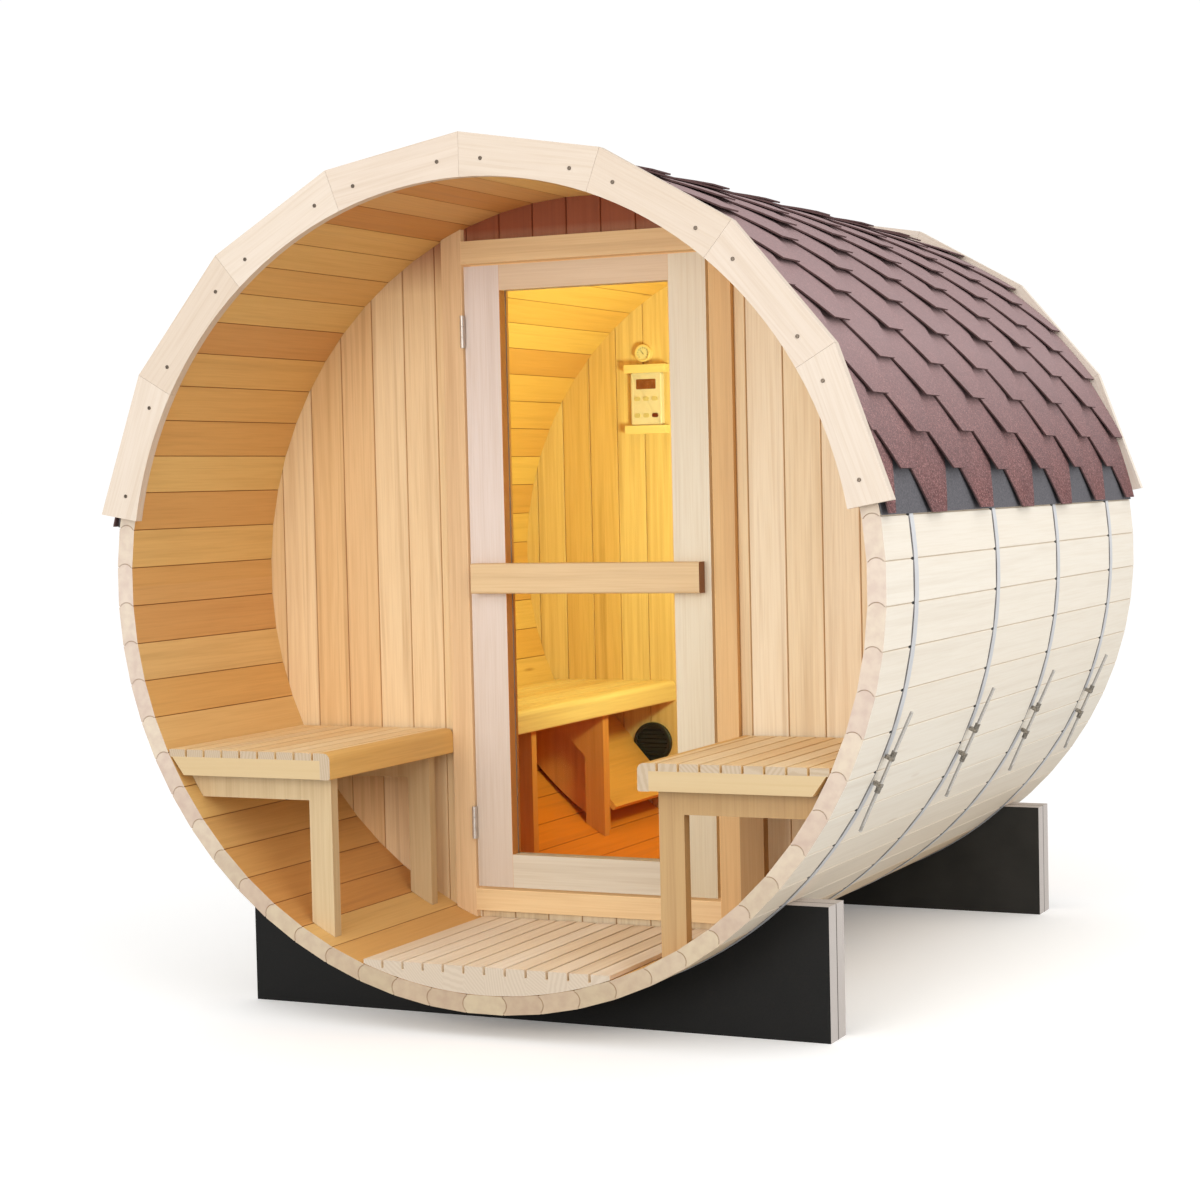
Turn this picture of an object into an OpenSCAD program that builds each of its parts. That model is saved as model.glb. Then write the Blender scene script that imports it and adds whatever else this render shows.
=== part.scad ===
// Barrel sauna: a coopered timber barrel lying on two cradles, with an open
// porch at the front, a cabin behind a recessed wall and a shingled roof.
// Millimetres, +X right seen from the front, +Y to the back, +Z up.
// The origin is on the ground under the middle of the barrel.

/* [Barrel] */
// Outer radius of the barrel at the stave corners
barrel_r = 900; // [850:5:1000]
// Length of the staves
barrel_len = 2050; // [1900:10:2600]
// Thickness of a stave
stave_t = 39; // [34:1:45]
// Number of staves round the barrel
stave_count = 64; // [56:8:72]
// Radius of the shallow bead along a stave's upper edge
bead_r = 20; // [18:0.5:21]
// Height of the bead above that edge
bead_rise = 8; // [6:0.5:9]
// Play in the joints between the staves
joint_play = 0.4; // [0.3:0.1:0.8]
// Chamfer that makes the notch on the outside of a stave joint
stave_notch = 2; // [1:0.5:4]
// Depth of the croze grooves that hold the two end walls
croze_depth = 10; // [6:1:12]

/* [Cradles] */
// Length of a cradle across the barrel
cradle_w = 1390; // [1300:10:1450]
// Height of a cradle at its ends
cradle_h = 283; // [240:1:300]
// Thickness of a cradle, two laminated sheets
cradle_t = 90; // [60:1:110]
// Wood of a cradle under the lowest stave
cradle_base = 53; // [40:1:80]
// Distance from the front rim to the front cradle
front_cradle_y = 202; // [150:1:300]
// Distance from the rear rim to the rear cradle
rear_cradle_y = 148; // [120:1:300]

/* [Bands] */
// Width of a steel band
band_w = 24; // [16:1:30]
// Thickness of a steel band
band_t = 1; // [0.8:0.1:1.5]
// Distance between an end band and the cradle behind it
band_gap = 5; // [3:1:12]
// Place of the second band behind the front rim
second_band_y = 765; // [700:5:850]
// Place of the third band behind the front rim
third_band_y = 1275; // [1150:5:1350]
// Angle of the tensioners below the horizontal
tensioner_angle = 25; // [20:1:32]
// Distance between the two lugs of a tensioner
lug_span = 60; // [50:5:120]
// Length of a tensioner rod
rod_len = 270; // [240:5:320]
// Diameter of a tensioner rod
rod_d = 8; // [6:1:10]

/* [End walls] */
// Thickness of the end walls
wall_t = 42; // [36:1:50]
// Depth of the porch, from the front rim to the front wall
porch_depth = 570; // [500:5:650]
// Distance from the rear rim to the rear wall
rear_setback = 60; // [40:1:100]

/* [Door frame] */
// Width of a door post
post_w = 52; // [45:1:70]
// How far the posts, header and sill stand in front of the wall
post_proud = 15; // [8:1:25]
// Height of the header
header_h = 52; // [40:1:60]
// Height of the sill
sill_h = 50; // [40:1:60]
// Width of the stop behind the door
stop_w = 14; // [10:1:20]
// Room between the door's inner face and the stop
stop_gap = 5; // [5:0.5:6]
// Room between the header's top corners and the staves
header_room = 28; // [20:1:60]
// Height of the sill above the porch floor
sill_lift = 14; // [5:1:30]

/* [Door] */
// Width of the door as a share of the barrel's radius
door_share = 0.6733; // [0.62:0.0001:0.7]
// Thickness of the door
door_t = 44; // [38:1:48]
// Gap all round the door
door_gap = 7; // [6:0.5:10]
// Width of a door stile
stile_w = 91; // [80:1:110]
// Height of the door's top rail
top_rail_h = 58; // [50:1:90]
// Height of the door's bottom rail
bottom_rail_h = 77; // [60:1:110]
// Thickness of the glass
glass_t = 6; // [4:1:8]
// Distance from the door's face back to the glass
glass_back = 28; // [18:1:30]
// How far the glass reaches into the frame
glass_let = 8; // [6:1:12]
// Distance of the handle bar's ends from the door's edges
handle_inset = 16; // [10:1:60]
// Height of the handle bar
handle_h = 70; // [45:1:80]
// Thickness of the handle bar
handle_t = 33; // [25:1:40]
// Radius along the handle bar's front edges
handle_round = 5; // [3:0.5:8]
// Length of a hinge
hinge_len = 75; // [60:1:100]
// Diameter of a hinge knuckle
knuckle_d = 12; // [10:1:14]
// Distance of a hinge from the door's top and bottom
hinge_inset = 150; // [100:5:250]

/* [Porch floor] */
// Number of slats in the porch floor
floor_slats = 12; // [10:1:12]
// Width of a floor slat
floor_slat_w = 43; // [38:1:44]
// Gap between floor slats
floor_gap = 6; // [4:0.5:8]
// Thickness of a floor slat
floor_slat_t = 18; // [15:1:22]
// Depth to which the edges of the outer floor slats are cut away along the staves
floor_scribe = 9; // [0:1:12]
// Thickness of a floor bearer
bearer_t = 30; // [24:1:45]

/* [Benches] */
// Height of the seats above the porch floor
seat_height = 440; // [400:2:470]
// Depth of the porch seats from the staves to the nose
porch_seat_depth = 418; // [380:2:440]
// Depth of the cabin seat from the staves to the nose
cabin_seat_depth = 384; // [360:1:420]
// Width of a seat slat
seat_slat_w = 41; // [36:1:46]
// Gap between seat slats
seat_gap = 5.5; // [4:0.5:8]
// Thickness of a seat slat
seat_slat_t = 17; // [15:1:24]
// Height of the rounded nose board along a seat
nose_h = 58; // [45:1:65]
// Thickness of the nose board's hanging lip
nose_lip = 26; // [20:1:30]
// Radius along the top of the nose board
nose_round = 15; // [8:0.5:16]
// Height of the cross rails under a seat
cross_rail_h = 40; // [30:1:45]
// Thickness of the cross rails under a seat
cross_rail_t = 28; // [22:1:40]
// Angle from upright at which the outer ends of the cross rails are cut
rail_cut = 36; // [30:1:45]
// Height of the frame rails that carry a seat
frame_rail_h = 52; // [40:1:70]
// Width of a bench leg
leg_w = 56; // [45:1:70]
// Thickness of the bench frames
frame_t = 27; // [22:1:40]
// Distance of a bench frame from the end of its seat
frame_inset = 46; // [35:1:80]
// Place of the first cabin bench leg behind the front wall
cabin_leg_1 = 470; // [400:5:550]
// Place of the second cabin bench leg behind the front wall
cabin_leg_2 = 898; // [850:2:1000]
// Width of the gussets in the cabin bench frames
gusset_w = 62; // [40:1:80]
// Thickness of the panel behind the second cabin frame
bench_panel_t = 9; // [6:1:18]
// Open joint between that panel and the staves
bench_panel_gap = 12; // [6:1:20]
// Thickness of the sloping board behind the panel
bench_board_t = 15; // [12:1:22]
// Angle below the horizontal at which the sloping board faces the axis
backboard_angle = 42; // [40:1:45]
// Room between the sloping board's face and the staves
backboard_room = 110; // [95:1:120]
// Width of the sloping board
backboard_w = 330; // [300:2:340]
// Room between the sloping board and the cross rails over it
backboard_gap = 10; // [6:1:20]

/* [Roof] */
// Angle of the roof's lower edges above the horizontal
roof_angle = 8.5; // [6:0.5:14]
// Thickness of the underlay
underlay_t = 2; // [1.5:0.5:3]
// Thickness of a shingle course at its lower edge
shingle_t = 5; // [3:0.5:6]
// Thickness of a shingle course at its upper edge
shingle_thin = 2; // [1:0.5:2.5]
// Height of a shingle course that shows below the next one
course_step = 83; // [75:1:110]
// How far the underlay shows below the shingles
underlay_show = 8; // [4:1:20]
// Half width of the ridge cap along the curve
cap_half = 125; // [90:5:160]

/* [Fascia] */
// Number of boards in a fascia arch
fascia_boards = 8; // [6:1:10]
// Angle of the fascia's ends above the horizontal
fascia_angle = 10; // [8:0.5:15]
// How far the fascia's outer corners stand out from the staves
fascia_proud = 36; // [28:1:60]
// How far the fascia reaches inside the staves
fascia_drop = 17; // [10:1:30]
// Thickness of a fascia board
fascia_t = 22; // [18:1:28]
// Open width of the joints between the fascia boards
fascia_joint = 0.5; // [0.3:0.1:1]

/* [Cabin fittings] */
// Width of the control panel
panel_w = 95; // [80:1:140]
// Height of the control panel
panel_h = 150; // [120:1:180]
// Thickness of the control panel
panel_t = 18; // [12:1:30]
// Angle above the horizontal at which the control panel is placed
panel_angle = 44; // [40:1:48]
// Room between the control panel's middle and the staves
panel_room = 220; // [195:1:245]
// Height of the ledges over and under the control panel
ledge_h = 23; // [18:1:30]
// Depth of the ledges
ledge_t = 30; // [20:1:40]
// How far the ledges reach past the control panel's sides
ledge_over = 16; // [5:1:25]
// Diameter of the thermometer
dial_d = 50; // [40:1:60]
// Depth of the thermometer
dial_t = 16; // [10:1:25]
// Distance of the thermometer from the ledge under it
dial_lift = 8; // [4:1:20]
// Shift of the thermometer to the left of the control panel's middle
dial_shift = 10; // [0:1:20]
// Diameter of the air vent
vent_d = 116; // [90:1:130]
// Depth of the air vent
vent_t = 10; // [6:1:20]
// Angle below the horizontal at which the vent is placed
vent_angle = 49; // [45:1:52]
// Room between the vent's rim and the staves
vent_room = 88; // [60:1:120]

/* [Hidden] */
$fn = 360;
// play between pieces that seat against a curved face
seat_play = 0.3;
pitch = 360 / stave_count;
axis_z = cradle_base + barrel_r + seat_play;
front_y = -barrel_len / 2;
rear_y = barrel_len / 2;
// apothems of the outer and inner faces of a stave
outer_a = barrel_r * cos(pitch / 2);
inner_a = outer_a - stave_t;
mid_a = outer_a - stave_t / 2;
croze_r = inner_a + croze_depth;
wall_r = croze_r - seat_play;
inside_r = inner_a - seat_play;
// faces of the end walls
wall_y = front_y + porch_depth;
cabin_y = wall_y + wall_t;
rear_wall_y = rear_y - rear_setback - wall_t;
// door and its opening, heights measured from the axis
door_w = round(barrel_r * door_share);
handle_len = door_w - 2 * handle_inset;
post_in = door_w / 2 + door_gap;
post_out = post_in + post_w;
floor_half = (floor_slats * (floor_slat_w + floor_gap) - floor_gap) / 2;
floor_under = -sqrt(inside_r * inside_r - floor_half * floor_half) - floor_scribe;
floor_top = floor_under + floor_slat_t;
sill_z = floor_top + sill_lift;
header_z = sqrt(inner_a * inner_a - post_in * post_in) - header_room - header_h;
door_z = sill_z + sill_h + door_gap;
door_h = header_z - door_gap - door_z;
door_y = wall_y - post_proud;
stop_y = door_y + door_t + stop_gap;
hinge_x = -door_w / 2 - door_gap / 2;
hinge_y = door_y - knuckle_d / 2 - 0.5;
leaf_t = 2;
// distance between a hinge leaf and the door's inner face
leaf_stop = 6;
// depth to which a piece is housed in the one that it carries or stands on
housing = 1;
// seats
seat_z = floor_top + seat_height;
seat_under = seat_z - seat_slat_t;
seat_back = sqrt(inside_r * inside_r - seat_z * seat_z);
porch_nose_x = seat_back - porch_seat_depth;
cabin_nose_x = seat_back - cabin_seat_depth;
rail_under = seat_under - cross_rail_h;
seat_pitch = seat_slat_w + seat_gap;
// upper end of a cross rail's sawn end, and the least width of a slat that rests on it
rail_end = seat_back - (seat_z - seat_under) * tan(rail_cut);
slat_rest = 3;
// distance of the sloping board's face from the axis, and its upper end along that face
backboard_out = inside_r - backboard_room;
backboard_end = (rail_under - backboard_gap + backboard_out * sin(backboard_angle)) / cos(backboard_angle);
// fittings on the rear wall, measured from the axis
panel_x = (inside_r - panel_room) * cos(panel_angle);
panel_z = (inside_r - panel_room) * sin(panel_angle);
vent_x = (inside_r - vent_room - vent_d / 2) * cos(vent_angle);
vent_drop = (inside_r - vent_room - vent_d / 2) * sin(vent_angle);
// roof radii
band_r = barrel_r + 0.2;
fascia_r = barrel_r + fascia_proud;
under_r = band_r + band_t + seat_play;
roof_r = under_r + underlay_t;
// angles and radii of the shingle courses
eave_a = roof_angle + underlay_show / roof_r * 180 / PI;
course_a = course_step / roof_r * 180 / PI;
course_count = ceil((90 - eave_a) / course_a);
butt_r = (roof_r + shingle_t + shingle_thin) / cos(course_a / 2);
head_r = (roof_r + shingle_thin) / cos(course_a / 2);
lug_t = 12;
lug_reach = 2 * rod_d + 8;
rod_r = band_r + band_t + rod_d / 2 + 8;
lug_angle = asin(lug_span / 2 / rod_r);
// places of the four bands behind the front rim
band_places = [
  front_cradle_y - band_gap - band_w / 2,
  second_band_y,
  third_band_y,
  barrel_len - rear_cradle_y - cradle_t - band_gap - band_w / 2
];

// Extrudes an outline drawn across the barrel, its origin on the axis.
module along(y0, length) {
  translate([0, y0 + length, axis_z])
    rotate([90, 0, 0])
      linear_extrude(length)
        children();
}

// A box whose height is measured from the barrel's axis.
module bar(x0, x1, y0, y1, z0, z1) {
  translate([x0, y0, axis_z + z0])
    cube([x1 - x0, y1 - y0, z1 - z0]);
}

// Outline of a wedge from angle a0 to angle a1.
module wedge(a0, a1, reach) {
  steps = ceil((a1 - a0) / 30);
  far = reach / cos((a1 - a0) / steps / 2);
  rim = [for (i = [0:steps]) a0 + (a1 - a0) * i / steps];
  polygon(concat([[0, 0]], [for (a = rim) far * [cos(a), sin(a)]]));
}

// Outline of the bead on a stave's upper edge, made larger by the given play.
module bead_outline(play) {
  edge = mid_a * tan(pitch / 2);
  intersection() {
    translate([mid_a, edge + bead_rise - bead_r]) circle(bead_r + play);
    translate([inner_a, edge - bead_rise / 4]) square([stave_t, 2 * bead_rise]);
  }
}

// Outline of a flat-faced stave, its outer face towards +X.
// A bead stands on the edges named, and the bead of the next stave is cut from the others.
module stave_outline(bead_high, bead_low) {
  slope = tan(pitch / 2);
  play = joint_play / 2 / cos(pitch / 2);
  high_o = outer_a * slope - play;
  high_c = (outer_a - stave_notch) * slope - play;
  high_i = inner_a * slope - play;
  lip = stave_notch / 2;
  difference() {
    union() {
      polygon([
        [outer_a, high_o - stave_notch],
        [outer_a - stave_notch, high_c],
        [inner_a + lip, high_i],
        [inner_a, high_i - lip],
        [inner_a, lip - high_i],
        [inner_a + lip, -high_i],
        [outer_a - stave_notch, -high_c],
        [outer_a, stave_notch - high_o]
      ]);
      if (bead_high) bead_outline(0);
      if (bead_low) mirror([0, 1]) bead_outline(0);
    }
    if (!bead_high) rotate(pitch) mirror([0, 1]) bead_outline(joint_play);
    if (!bead_low) rotate(-pitch) bead_outline(joint_play);
  }
}

// One sector of staves. The beads face upwards on both sides of the barrel.
module stave_sector(sector) {
  per = stave_count / 4;
  first = round((sector - 0.5) * per);
  color("BlanchedAlmond")
    difference() {
      along(front_y, barrel_len)
        for (k = [first:first + per - 1]) {
          // staves counted up from the lowest one
          turn = k - stave_count * floor(k / stave_count);
          rising = turn < stave_count / 2;
          lowest = turn == 0;
          highest = turn == stave_count / 2;
          rotate(-90 + k * pitch)
            stave_outline(!highest && (rising || lowest), !highest && (!rising || lowest));
        }
      along(wall_y - seat_play, wall_t + 2 * seat_play) circle(croze_r);
      along(rear_wall_y - seat_play, wall_t + 2 * seat_play) circle(croze_r);
    }
}

module staves_bottom() { stave_sector(0); }
module staves_right() { stave_sector(1); }
module staves_top() { stave_sector(2); }
module staves_left() { stave_sector(3); }

// A laminated board on edge, cut out to the barrel's round.
module cradle(y0) {
  color([0.16, 0.15, 0.15])
    along(y0, cradle_t)
      difference() {
        translate([-cradle_w / 2, -axis_z]) square([cradle_w, cradle_h]);
        circle(barrel_r + seat_play);
      }
}

module front_cradle() { cradle(front_y + front_cradle_y); }
module rear_cradle() { cradle(rear_y - rear_cradle_y - cradle_t); }

// Thin steel hoops, open between the lugs of their tensioners.
module steel_bands() {
  color("Silver")
    for (y = band_places)
      along(front_y + y - band_w / 2, band_w)
        difference() {
          circle(band_r + band_t);
          circle(band_r);
          wedge(-tensioner_angle - lug_angle, -tensioner_angle + lug_angle, 2 * barrel_r);
        }
}

// Two lugs with a threaded rod and its nuts pull each hoop tight.
module band_tensioners() {
  color("Silver")
    for (y = band_places)
      translate([0, front_y + y, axis_z])
        rotate([0, tensioner_angle, 0]) {
          for (side = [-1, 1])
            rotate([0, -side * lug_angle, 0])
              translate([band_r + band_t, -band_w / 2, -lug_t / 2])
                cube([lug_reach, band_w, lug_t]);
          translate([rod_r, 0, -rod_len / 2]) cylinder(d = rod_d, h = rod_len);
          for (side = [-1, 1])
            translate([rod_r, 0, side * (lug_span / 2 + lug_t) - rod_d / 2])
              cylinder(d = 2 * rod_d, h = rod_d, $fn = 6);
        }
}

// A piece of an end wall between two upright lines and two level lines.
module wall_piece(x0, x1, z0, z1) {
  color("BurlyWood")
    along(wall_y, wall_t)
      intersection() {
        circle(wall_r);
        translate([x0, z0]) square([x1 - x0, z1 - z0]);
      }
}

module front_wall_left() { wall_piece(-barrel_r, -post_out, -barrel_r, barrel_r); }
module front_wall_right() { wall_piece(post_out, barrel_r, -barrel_r, barrel_r); }
module front_wall_over_door() { wall_piece(-post_in, post_in, header_z + header_h, barrel_r); }
module front_wall_under_door() { wall_piece(-post_in, post_in, -barrel_r, sill_z); }

module rear_wall() {
  color("BurlyWood")
    along(rear_wall_y, wall_t) circle(wall_r);
}

// A piece of the door frame: let into the croze like the wall, and proud of it in front.
// A stop behind the door runs all round the opening, mitred at the corners.
module frame_piece(x0, x1, z0, z1) {
  color("Tan")
    intersection() {
      bar(x0, x1, door_y, cabin_y, z0, z1);
      union() {
        along(wall_y, wall_t) circle(wall_r);
        along(door_y, post_proud) circle(inside_r);
      }
    }
}

// One side of the stop, housed in the post on the right of the opening.
module post_stop() {
  low = sill_z + sill_h;
  along(stop_y, cabin_y - stop_y)
    polygon([
      [post_in + housing, low],
      [post_in + housing, header_z],
      [post_in, header_z],
      [post_in - stop_w, header_z - stop_w],
      [post_in - stop_w, low + stop_w],
      [post_in, low]
    ]);
}

// The stop along the header or the sill, housed in it. It stands up or hangs down from height z.
module rail_stop(z, width) {
  root = z - sign(width) * housing;
  along(stop_y, cabin_y - stop_y)
    polygon([
      [-post_in, root],
      [post_in, root],
      [post_in, z],
      [post_in - stop_w, z + width],
      [stop_w - post_in, z + width],
      [-post_in, z]
    ]);
}

module door_post_right() {
  frame_piece(post_in, post_out, -barrel_r, barrel_r);
  color("Tan") post_stop();
}
module door_post_left() { mirror([1, 0, 0]) door_post_right(); }
module door_header() {
  frame_piece(-post_in, post_in, header_z, header_z + header_h);
  color("Tan") rail_stop(header_z, -stop_w);
}
module door_sill() {
  frame_piece(-post_in, post_in, sill_z, sill_z + sill_h);
  color("Tan") rail_stop(sill_z + sill_h, stop_w);
}

// Middles of the two hinges above the axis.
function hinge_places() =
  [for (z = [hinge_inset, door_h - hinge_inset]) door_z + z];

// Upright barrel of a hinge knuckle between two heights.
module knuckle(z0, z1) {
  translate([hinge_x, hinge_y, axis_z + z0])
    cylinder(d = knuckle_d, h = z1 - z0);
}

// Hinge halves on the post: the upper and lower knuckles and a leaf in the door gap.
module frame_hinges() {
  color("Gray")
    for (z = hinge_places()) {
      for (side = [-1, 1]) {
        low = z + (side < 0 ? -hinge_len / 2 : hinge_len / 6 + 0.25);
        high = low + hinge_len / 3 - 0.25;
        knuckle(low, high);
        bar(-post_in, -post_in + leaf_t, hinge_y, door_y + 1, low, high);
      }
      bar(-post_in, -post_in + leaf_t, door_y + 1, door_y + door_t - leaf_stop,
          z - hinge_len / 2, z + hinge_len / 2);
    }
}

// Hinge halves on the door: the middle knuckle and a leaf on the door's edge.
module door_hinges() {
  color("Gray")
    for (z = hinge_places()) {
      low = z - hinge_len / 6 + 0.25;
      high = z + hinge_len / 6 - 0.25;
      knuckle(low, high);
      bar(-door_w / 2 - leaf_t, -door_w / 2, hinge_y, door_y + 1, low, high);
      bar(-door_w / 2 - leaf_t, -door_w / 2, door_y + 1, door_y + door_t - leaf_stop,
          z - hinge_len / 2, z + hinge_len / 2);
    }
}

// Room for the glass in the door's frame, with play all round it.
module glass_room(play) {
  bar(-door_w / 2 + stile_w - glass_let - play, door_w / 2 - stile_w + glass_let + play,
      door_y + glass_back - play, door_y + glass_back + glass_t + play,
      door_z + bottom_rail_h - glass_let - play, door_z + door_h - top_rail_h + glass_let + play);
}

module door_member(x0, x1, z0, z1) {
  color([0.93, 0.84, 0.76])
    difference() {
      bar(x0, x1, door_y, door_y + door_t, z0, z1);
      glass_room(seat_play);
    }
}

module door_left_stile() { door_member(-door_w / 2, -door_w / 2 + stile_w, door_z, door_z + door_h); }
module door_right_stile() { door_member(door_w / 2 - stile_w, door_w / 2, door_z, door_z + door_h); }
module door_top_rail() {
  door_member(-door_w / 2 + stile_w, door_w / 2 - stile_w, door_z + door_h - top_rail_h, door_z + door_h);
}
module door_bottom_rail() {
  door_member(-door_w / 2 + stile_w, door_w / 2 - stile_w, door_z, door_z + bottom_rail_h);
}
module door_glass() {
  color([0.8, 0.85, 0.85, 0.4]) glass_room(0);
}

// A wooden bar across both stiles, rounded along its front edges.
module door_handle() {
  flat = handle_h / 2 - handle_round;
  color("Wheat")
    translate([-handle_len / 2, door_y, axis_z + door_z + door_h / 2])
      rotate([90, 0, 90])
        linear_extrude(handle_len) {
          translate([handle_round - handle_t, -handle_h / 2]) square([handle_t - handle_round, handle_h]);
          translate([-handle_t, -flat]) square([handle_t, 2 * flat]);
          for (side = [-1, 1])
            translate([handle_round - handle_t, side * flat]) circle(handle_round);
        }
}

// Slats along the porch on two bearers, both scribed to the staves.
module porch_floor() {
  step = floor_slat_w + floor_gap;
  first = front_y + seat_play;
  length = porch_depth - post_proud - 2 * seat_play;
  color("BurlyWood") {
    along(first, length)
      intersection() {
        circle(inside_r);
        for (i = [0:floor_slats - 1])
          translate([i * step - floor_half, floor_under]) square([floor_slat_w, floor_slat_t]);
      }
    for (y = [first, first + length - bearer_t])
      along(y, bearer_t)
        intersection() {
          circle(inside_r);
          translate([-floor_half, -barrel_r])
            square([2 * floor_half, barrel_r + floor_under + housing]);
        }
  }
}

// Outline of a seat's nose board: rounded on top, with a lip hanging down in front.
// Its front is at x = 0 and its top at y = 0, and it reaches back along +X.
module nose_outline() {
  foot = nose_round / 3;
  translate([nose_round, -nose_round]) circle(nose_round);
  translate([foot, foot - nose_h]) circle(foot);
  translate([0, foot - nose_h]) square([nose_lip, nose_h - foot - nose_round]);
  translate([foot, -nose_h]) square([nose_lip - foot, nose_h - nose_round]);
  translate([nose_round, -nose_h]) square([nose_lip - nose_round, nose_h]);
  translate([nose_round, -seat_slat_t]) square([seat_slat_w - nose_round, seat_slat_t]);
}

// A slatted seat on the right of the barrel from x0 outwards, on cross rails at its ends.
module seat(x0, y0, length, rails) {
  slats = floor((rail_end - slat_rest - x0) / seat_pitch);
  color("NavajoWhite") {
    along(y0, length)
      intersection() {
        circle(inside_r);
        union() {
          translate([x0, seat_z]) nose_outline();
          for (i = [1:slats])
            translate([x0 + i * seat_pitch, seat_under]) square([seat_slat_w, seat_slat_t]);
        }
      }
    for (y = rails)
      along(y, cross_rail_t)
        intersection() {
          circle(inside_r);
          cross_rail_outline(x0 + nose_lip - housing);
        }
  }
}

// Outline of a cross rail from x0 outwards. Its end is sawn straight, from where the
// seat's top meets the staves, and so leaves an open wedge under the seat.
module cross_rail_outline(x0) {
  low = rail_under;
  high = seat_under + housing;
  polygon([
    [x0, low],
    [seat_back - (seat_z - low) * tan(rail_cut), low],
    [seat_back - (seat_z - high) * tan(rail_cut), high],
    [x0, high]
  ]);
}

// Outline of the rail and leg that carry a seat on the right, scribed to the staves.
// A gusset, where there is one, fills the corner between them.
module bench_frame_outline(x0, gusset) {
  rail_z = rail_under - frame_rail_h;
  leg_x = x0 + nose_lip;
  intersection() {
    circle(inside_r);
    union() {
      translate([leg_x, rail_z]) square([barrel_r, frame_rail_h]);
      translate([leg_x, -barrel_r]) square([leg_w, barrel_r + rail_under]);
      if (gusset > 0)
        translate([leg_x + leg_w, rail_z]) polygon([[0, 0], [gusset, 0], [0, -gusset]]);
    }
  }
}

module porch_seat() {
  length = porch_depth - post_proud - 2 * seat_play;
  first = front_y + seat_play;
  seat(porch_nose_x, first, length,
       [first, first + frame_inset, first + length - frame_inset - cross_rail_t]);
}

module porch_frame() {
  first = front_y + seat_play + frame_inset;
  last = front_y + porch_depth - post_proud - seat_play - frame_inset - frame_t;
  color("Wheat")
    for (y = [first, last])
      along(y, frame_t) bench_frame_outline(porch_nose_x, 0);
}

module right_bench_seat() { porch_seat(); }
module right_bench_frame() { porch_frame(); }
module left_bench_seat() { mirror([1, 0, 0]) porch_seat(); }
module left_bench_frame() { mirror([1, 0, 0]) porch_frame(); }

module cabin_bench_seat() {
  depth = rear_wall_y - cabin_y;
  mirror([1, 0, 0])
    seat(cabin_nose_x, cabin_y, depth,
         [for (y = [0, cabin_leg_1, cabin_leg_2, depth - cross_rail_t]) cabin_y + y]);
}

// Two frames with gussets carry the cabin bench.
module cabin_bench_frame() {
  color("Wheat")
    for (y = [cabin_leg_1, cabin_leg_2])
      mirror([1, 0, 0])
        along(cabin_y + y, frame_t) bench_frame_outline(cabin_nose_x, gusset_w);
}

// Thin panel behind the second frame, from its leg to the staves.
module cabin_bench_panel() {
  color("Peru")
    mirror([1, 0, 0])
      along(cabin_y + cabin_leg_2 + frame_t, bench_panel_t)
        intersection() {
          circle(inside_r - bench_panel_gap);
          translate([cabin_nose_x + nose_lip, -barrel_r]) square([barrel_r, barrel_r + rail_under]);
        }
}

// Board that slopes under the seat, from the panel to the rear wall, cut out round
// the air vent.
module cabin_bench_backboard() {
  y0 = cabin_y + cabin_leg_2 + frame_t + bench_panel_t;
  color("Peru")
    difference() {
      mirror([1, 0, 0])
        along(y0, rear_wall_y - y0)
          rotate(-backboard_angle)
            translate([backboard_out, backboard_end - backboard_w])
              square([bench_board_t, backboard_w]);
      translate([-vent_x, 0, -vent_drop])
        along(rear_wall_y - vent_t - 2, vent_t + 3) circle(d = vent_d + 4);
    }
}

// Black sheet under the shingles, from eave to eave over the steel bands.
module roof_underlay() {
  color([0.25, 0.25, 0.27])
    along(front_y, barrel_len)
      difference() {
        intersection() {
          circle(roof_r);
          wedge(roof_angle, 180 - roof_angle, 2 * barrel_r);
        }
        circle(under_r);
      }
}

// Outline of the lapped courses on the right, up to the ridge: each is thick at its lower
// edge and thins out under the next one.
module shingle_courses() {
  ends = [for (i = [0:course_count - 1]) for (end = [0, 1]) [i + end, end == 0 ? butt_r : head_r]];
  saw = [for (e = ends) e[1] * [cos(eave_a + e[0] * course_a), sin(eave_a + e[0] * course_a)]];
  bed_r = (roof_r + seat_play) / cos(course_a / 2);
  bed = [for (i = [course_count:-1:0]) bed_r * [cos(eave_a + i * course_a), sin(eave_a + i * course_a)]];
  intersection() {
    polygon(concat(saw, bed));
    square(2 * barrel_r);
  }
}

module shingles_right() {
  color([0.49, 0.34, 0.34])
    along(front_y, barrel_len) shingle_courses();
}
module shingles_left() { mirror([1, 0, 0]) shingles_right(); }

// Cap strip bent over the ridge.
module ridge_cap() {
  cap_r = butt_r + seat_play;
  half = cap_half / cap_r * 180 / PI;
  color([0.45, 0.31, 0.31])
    along(front_y, barrel_len)
      difference() {
        intersection() {
          circle(cap_r + shingle_thin);
          wedge(90 - half, 90 + half, 2 * barrel_r);
        }
        circle(cap_r);
      }
}

// Straight boards mitred into an arch over the stave ends, round on the inside.
module fascia(y0) {
  span = (180 - 2 * fascia_angle) / fascia_boards;
  slit = fascia_joint / 2 / fascia_r * 180 / PI;
  color("Linen")
    along(y0, fascia_t)
      for (i = [0:fascia_boards - 1]) {
        a = fascia_angle + i * span + slit;
        b = fascia_angle + (i + 1) * span - slit;
        difference() {
          polygon([[0, 0], fascia_r * [cos(a), sin(a)], fascia_r * [cos(b), sin(b)]]);
          circle(inner_a - fascia_drop);
        }
      }
}

module front_fascia() { fascia(front_y - fascia_t); }
module rear_fascia() { fascia(rear_y); }

module control_panel() {
  color("Ivory")
    bar(-panel_x - panel_w / 2, -panel_x + panel_w / 2, rear_wall_y - panel_t, rear_wall_y,
        panel_z - panel_h / 2, panel_z + panel_h / 2);
}

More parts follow.
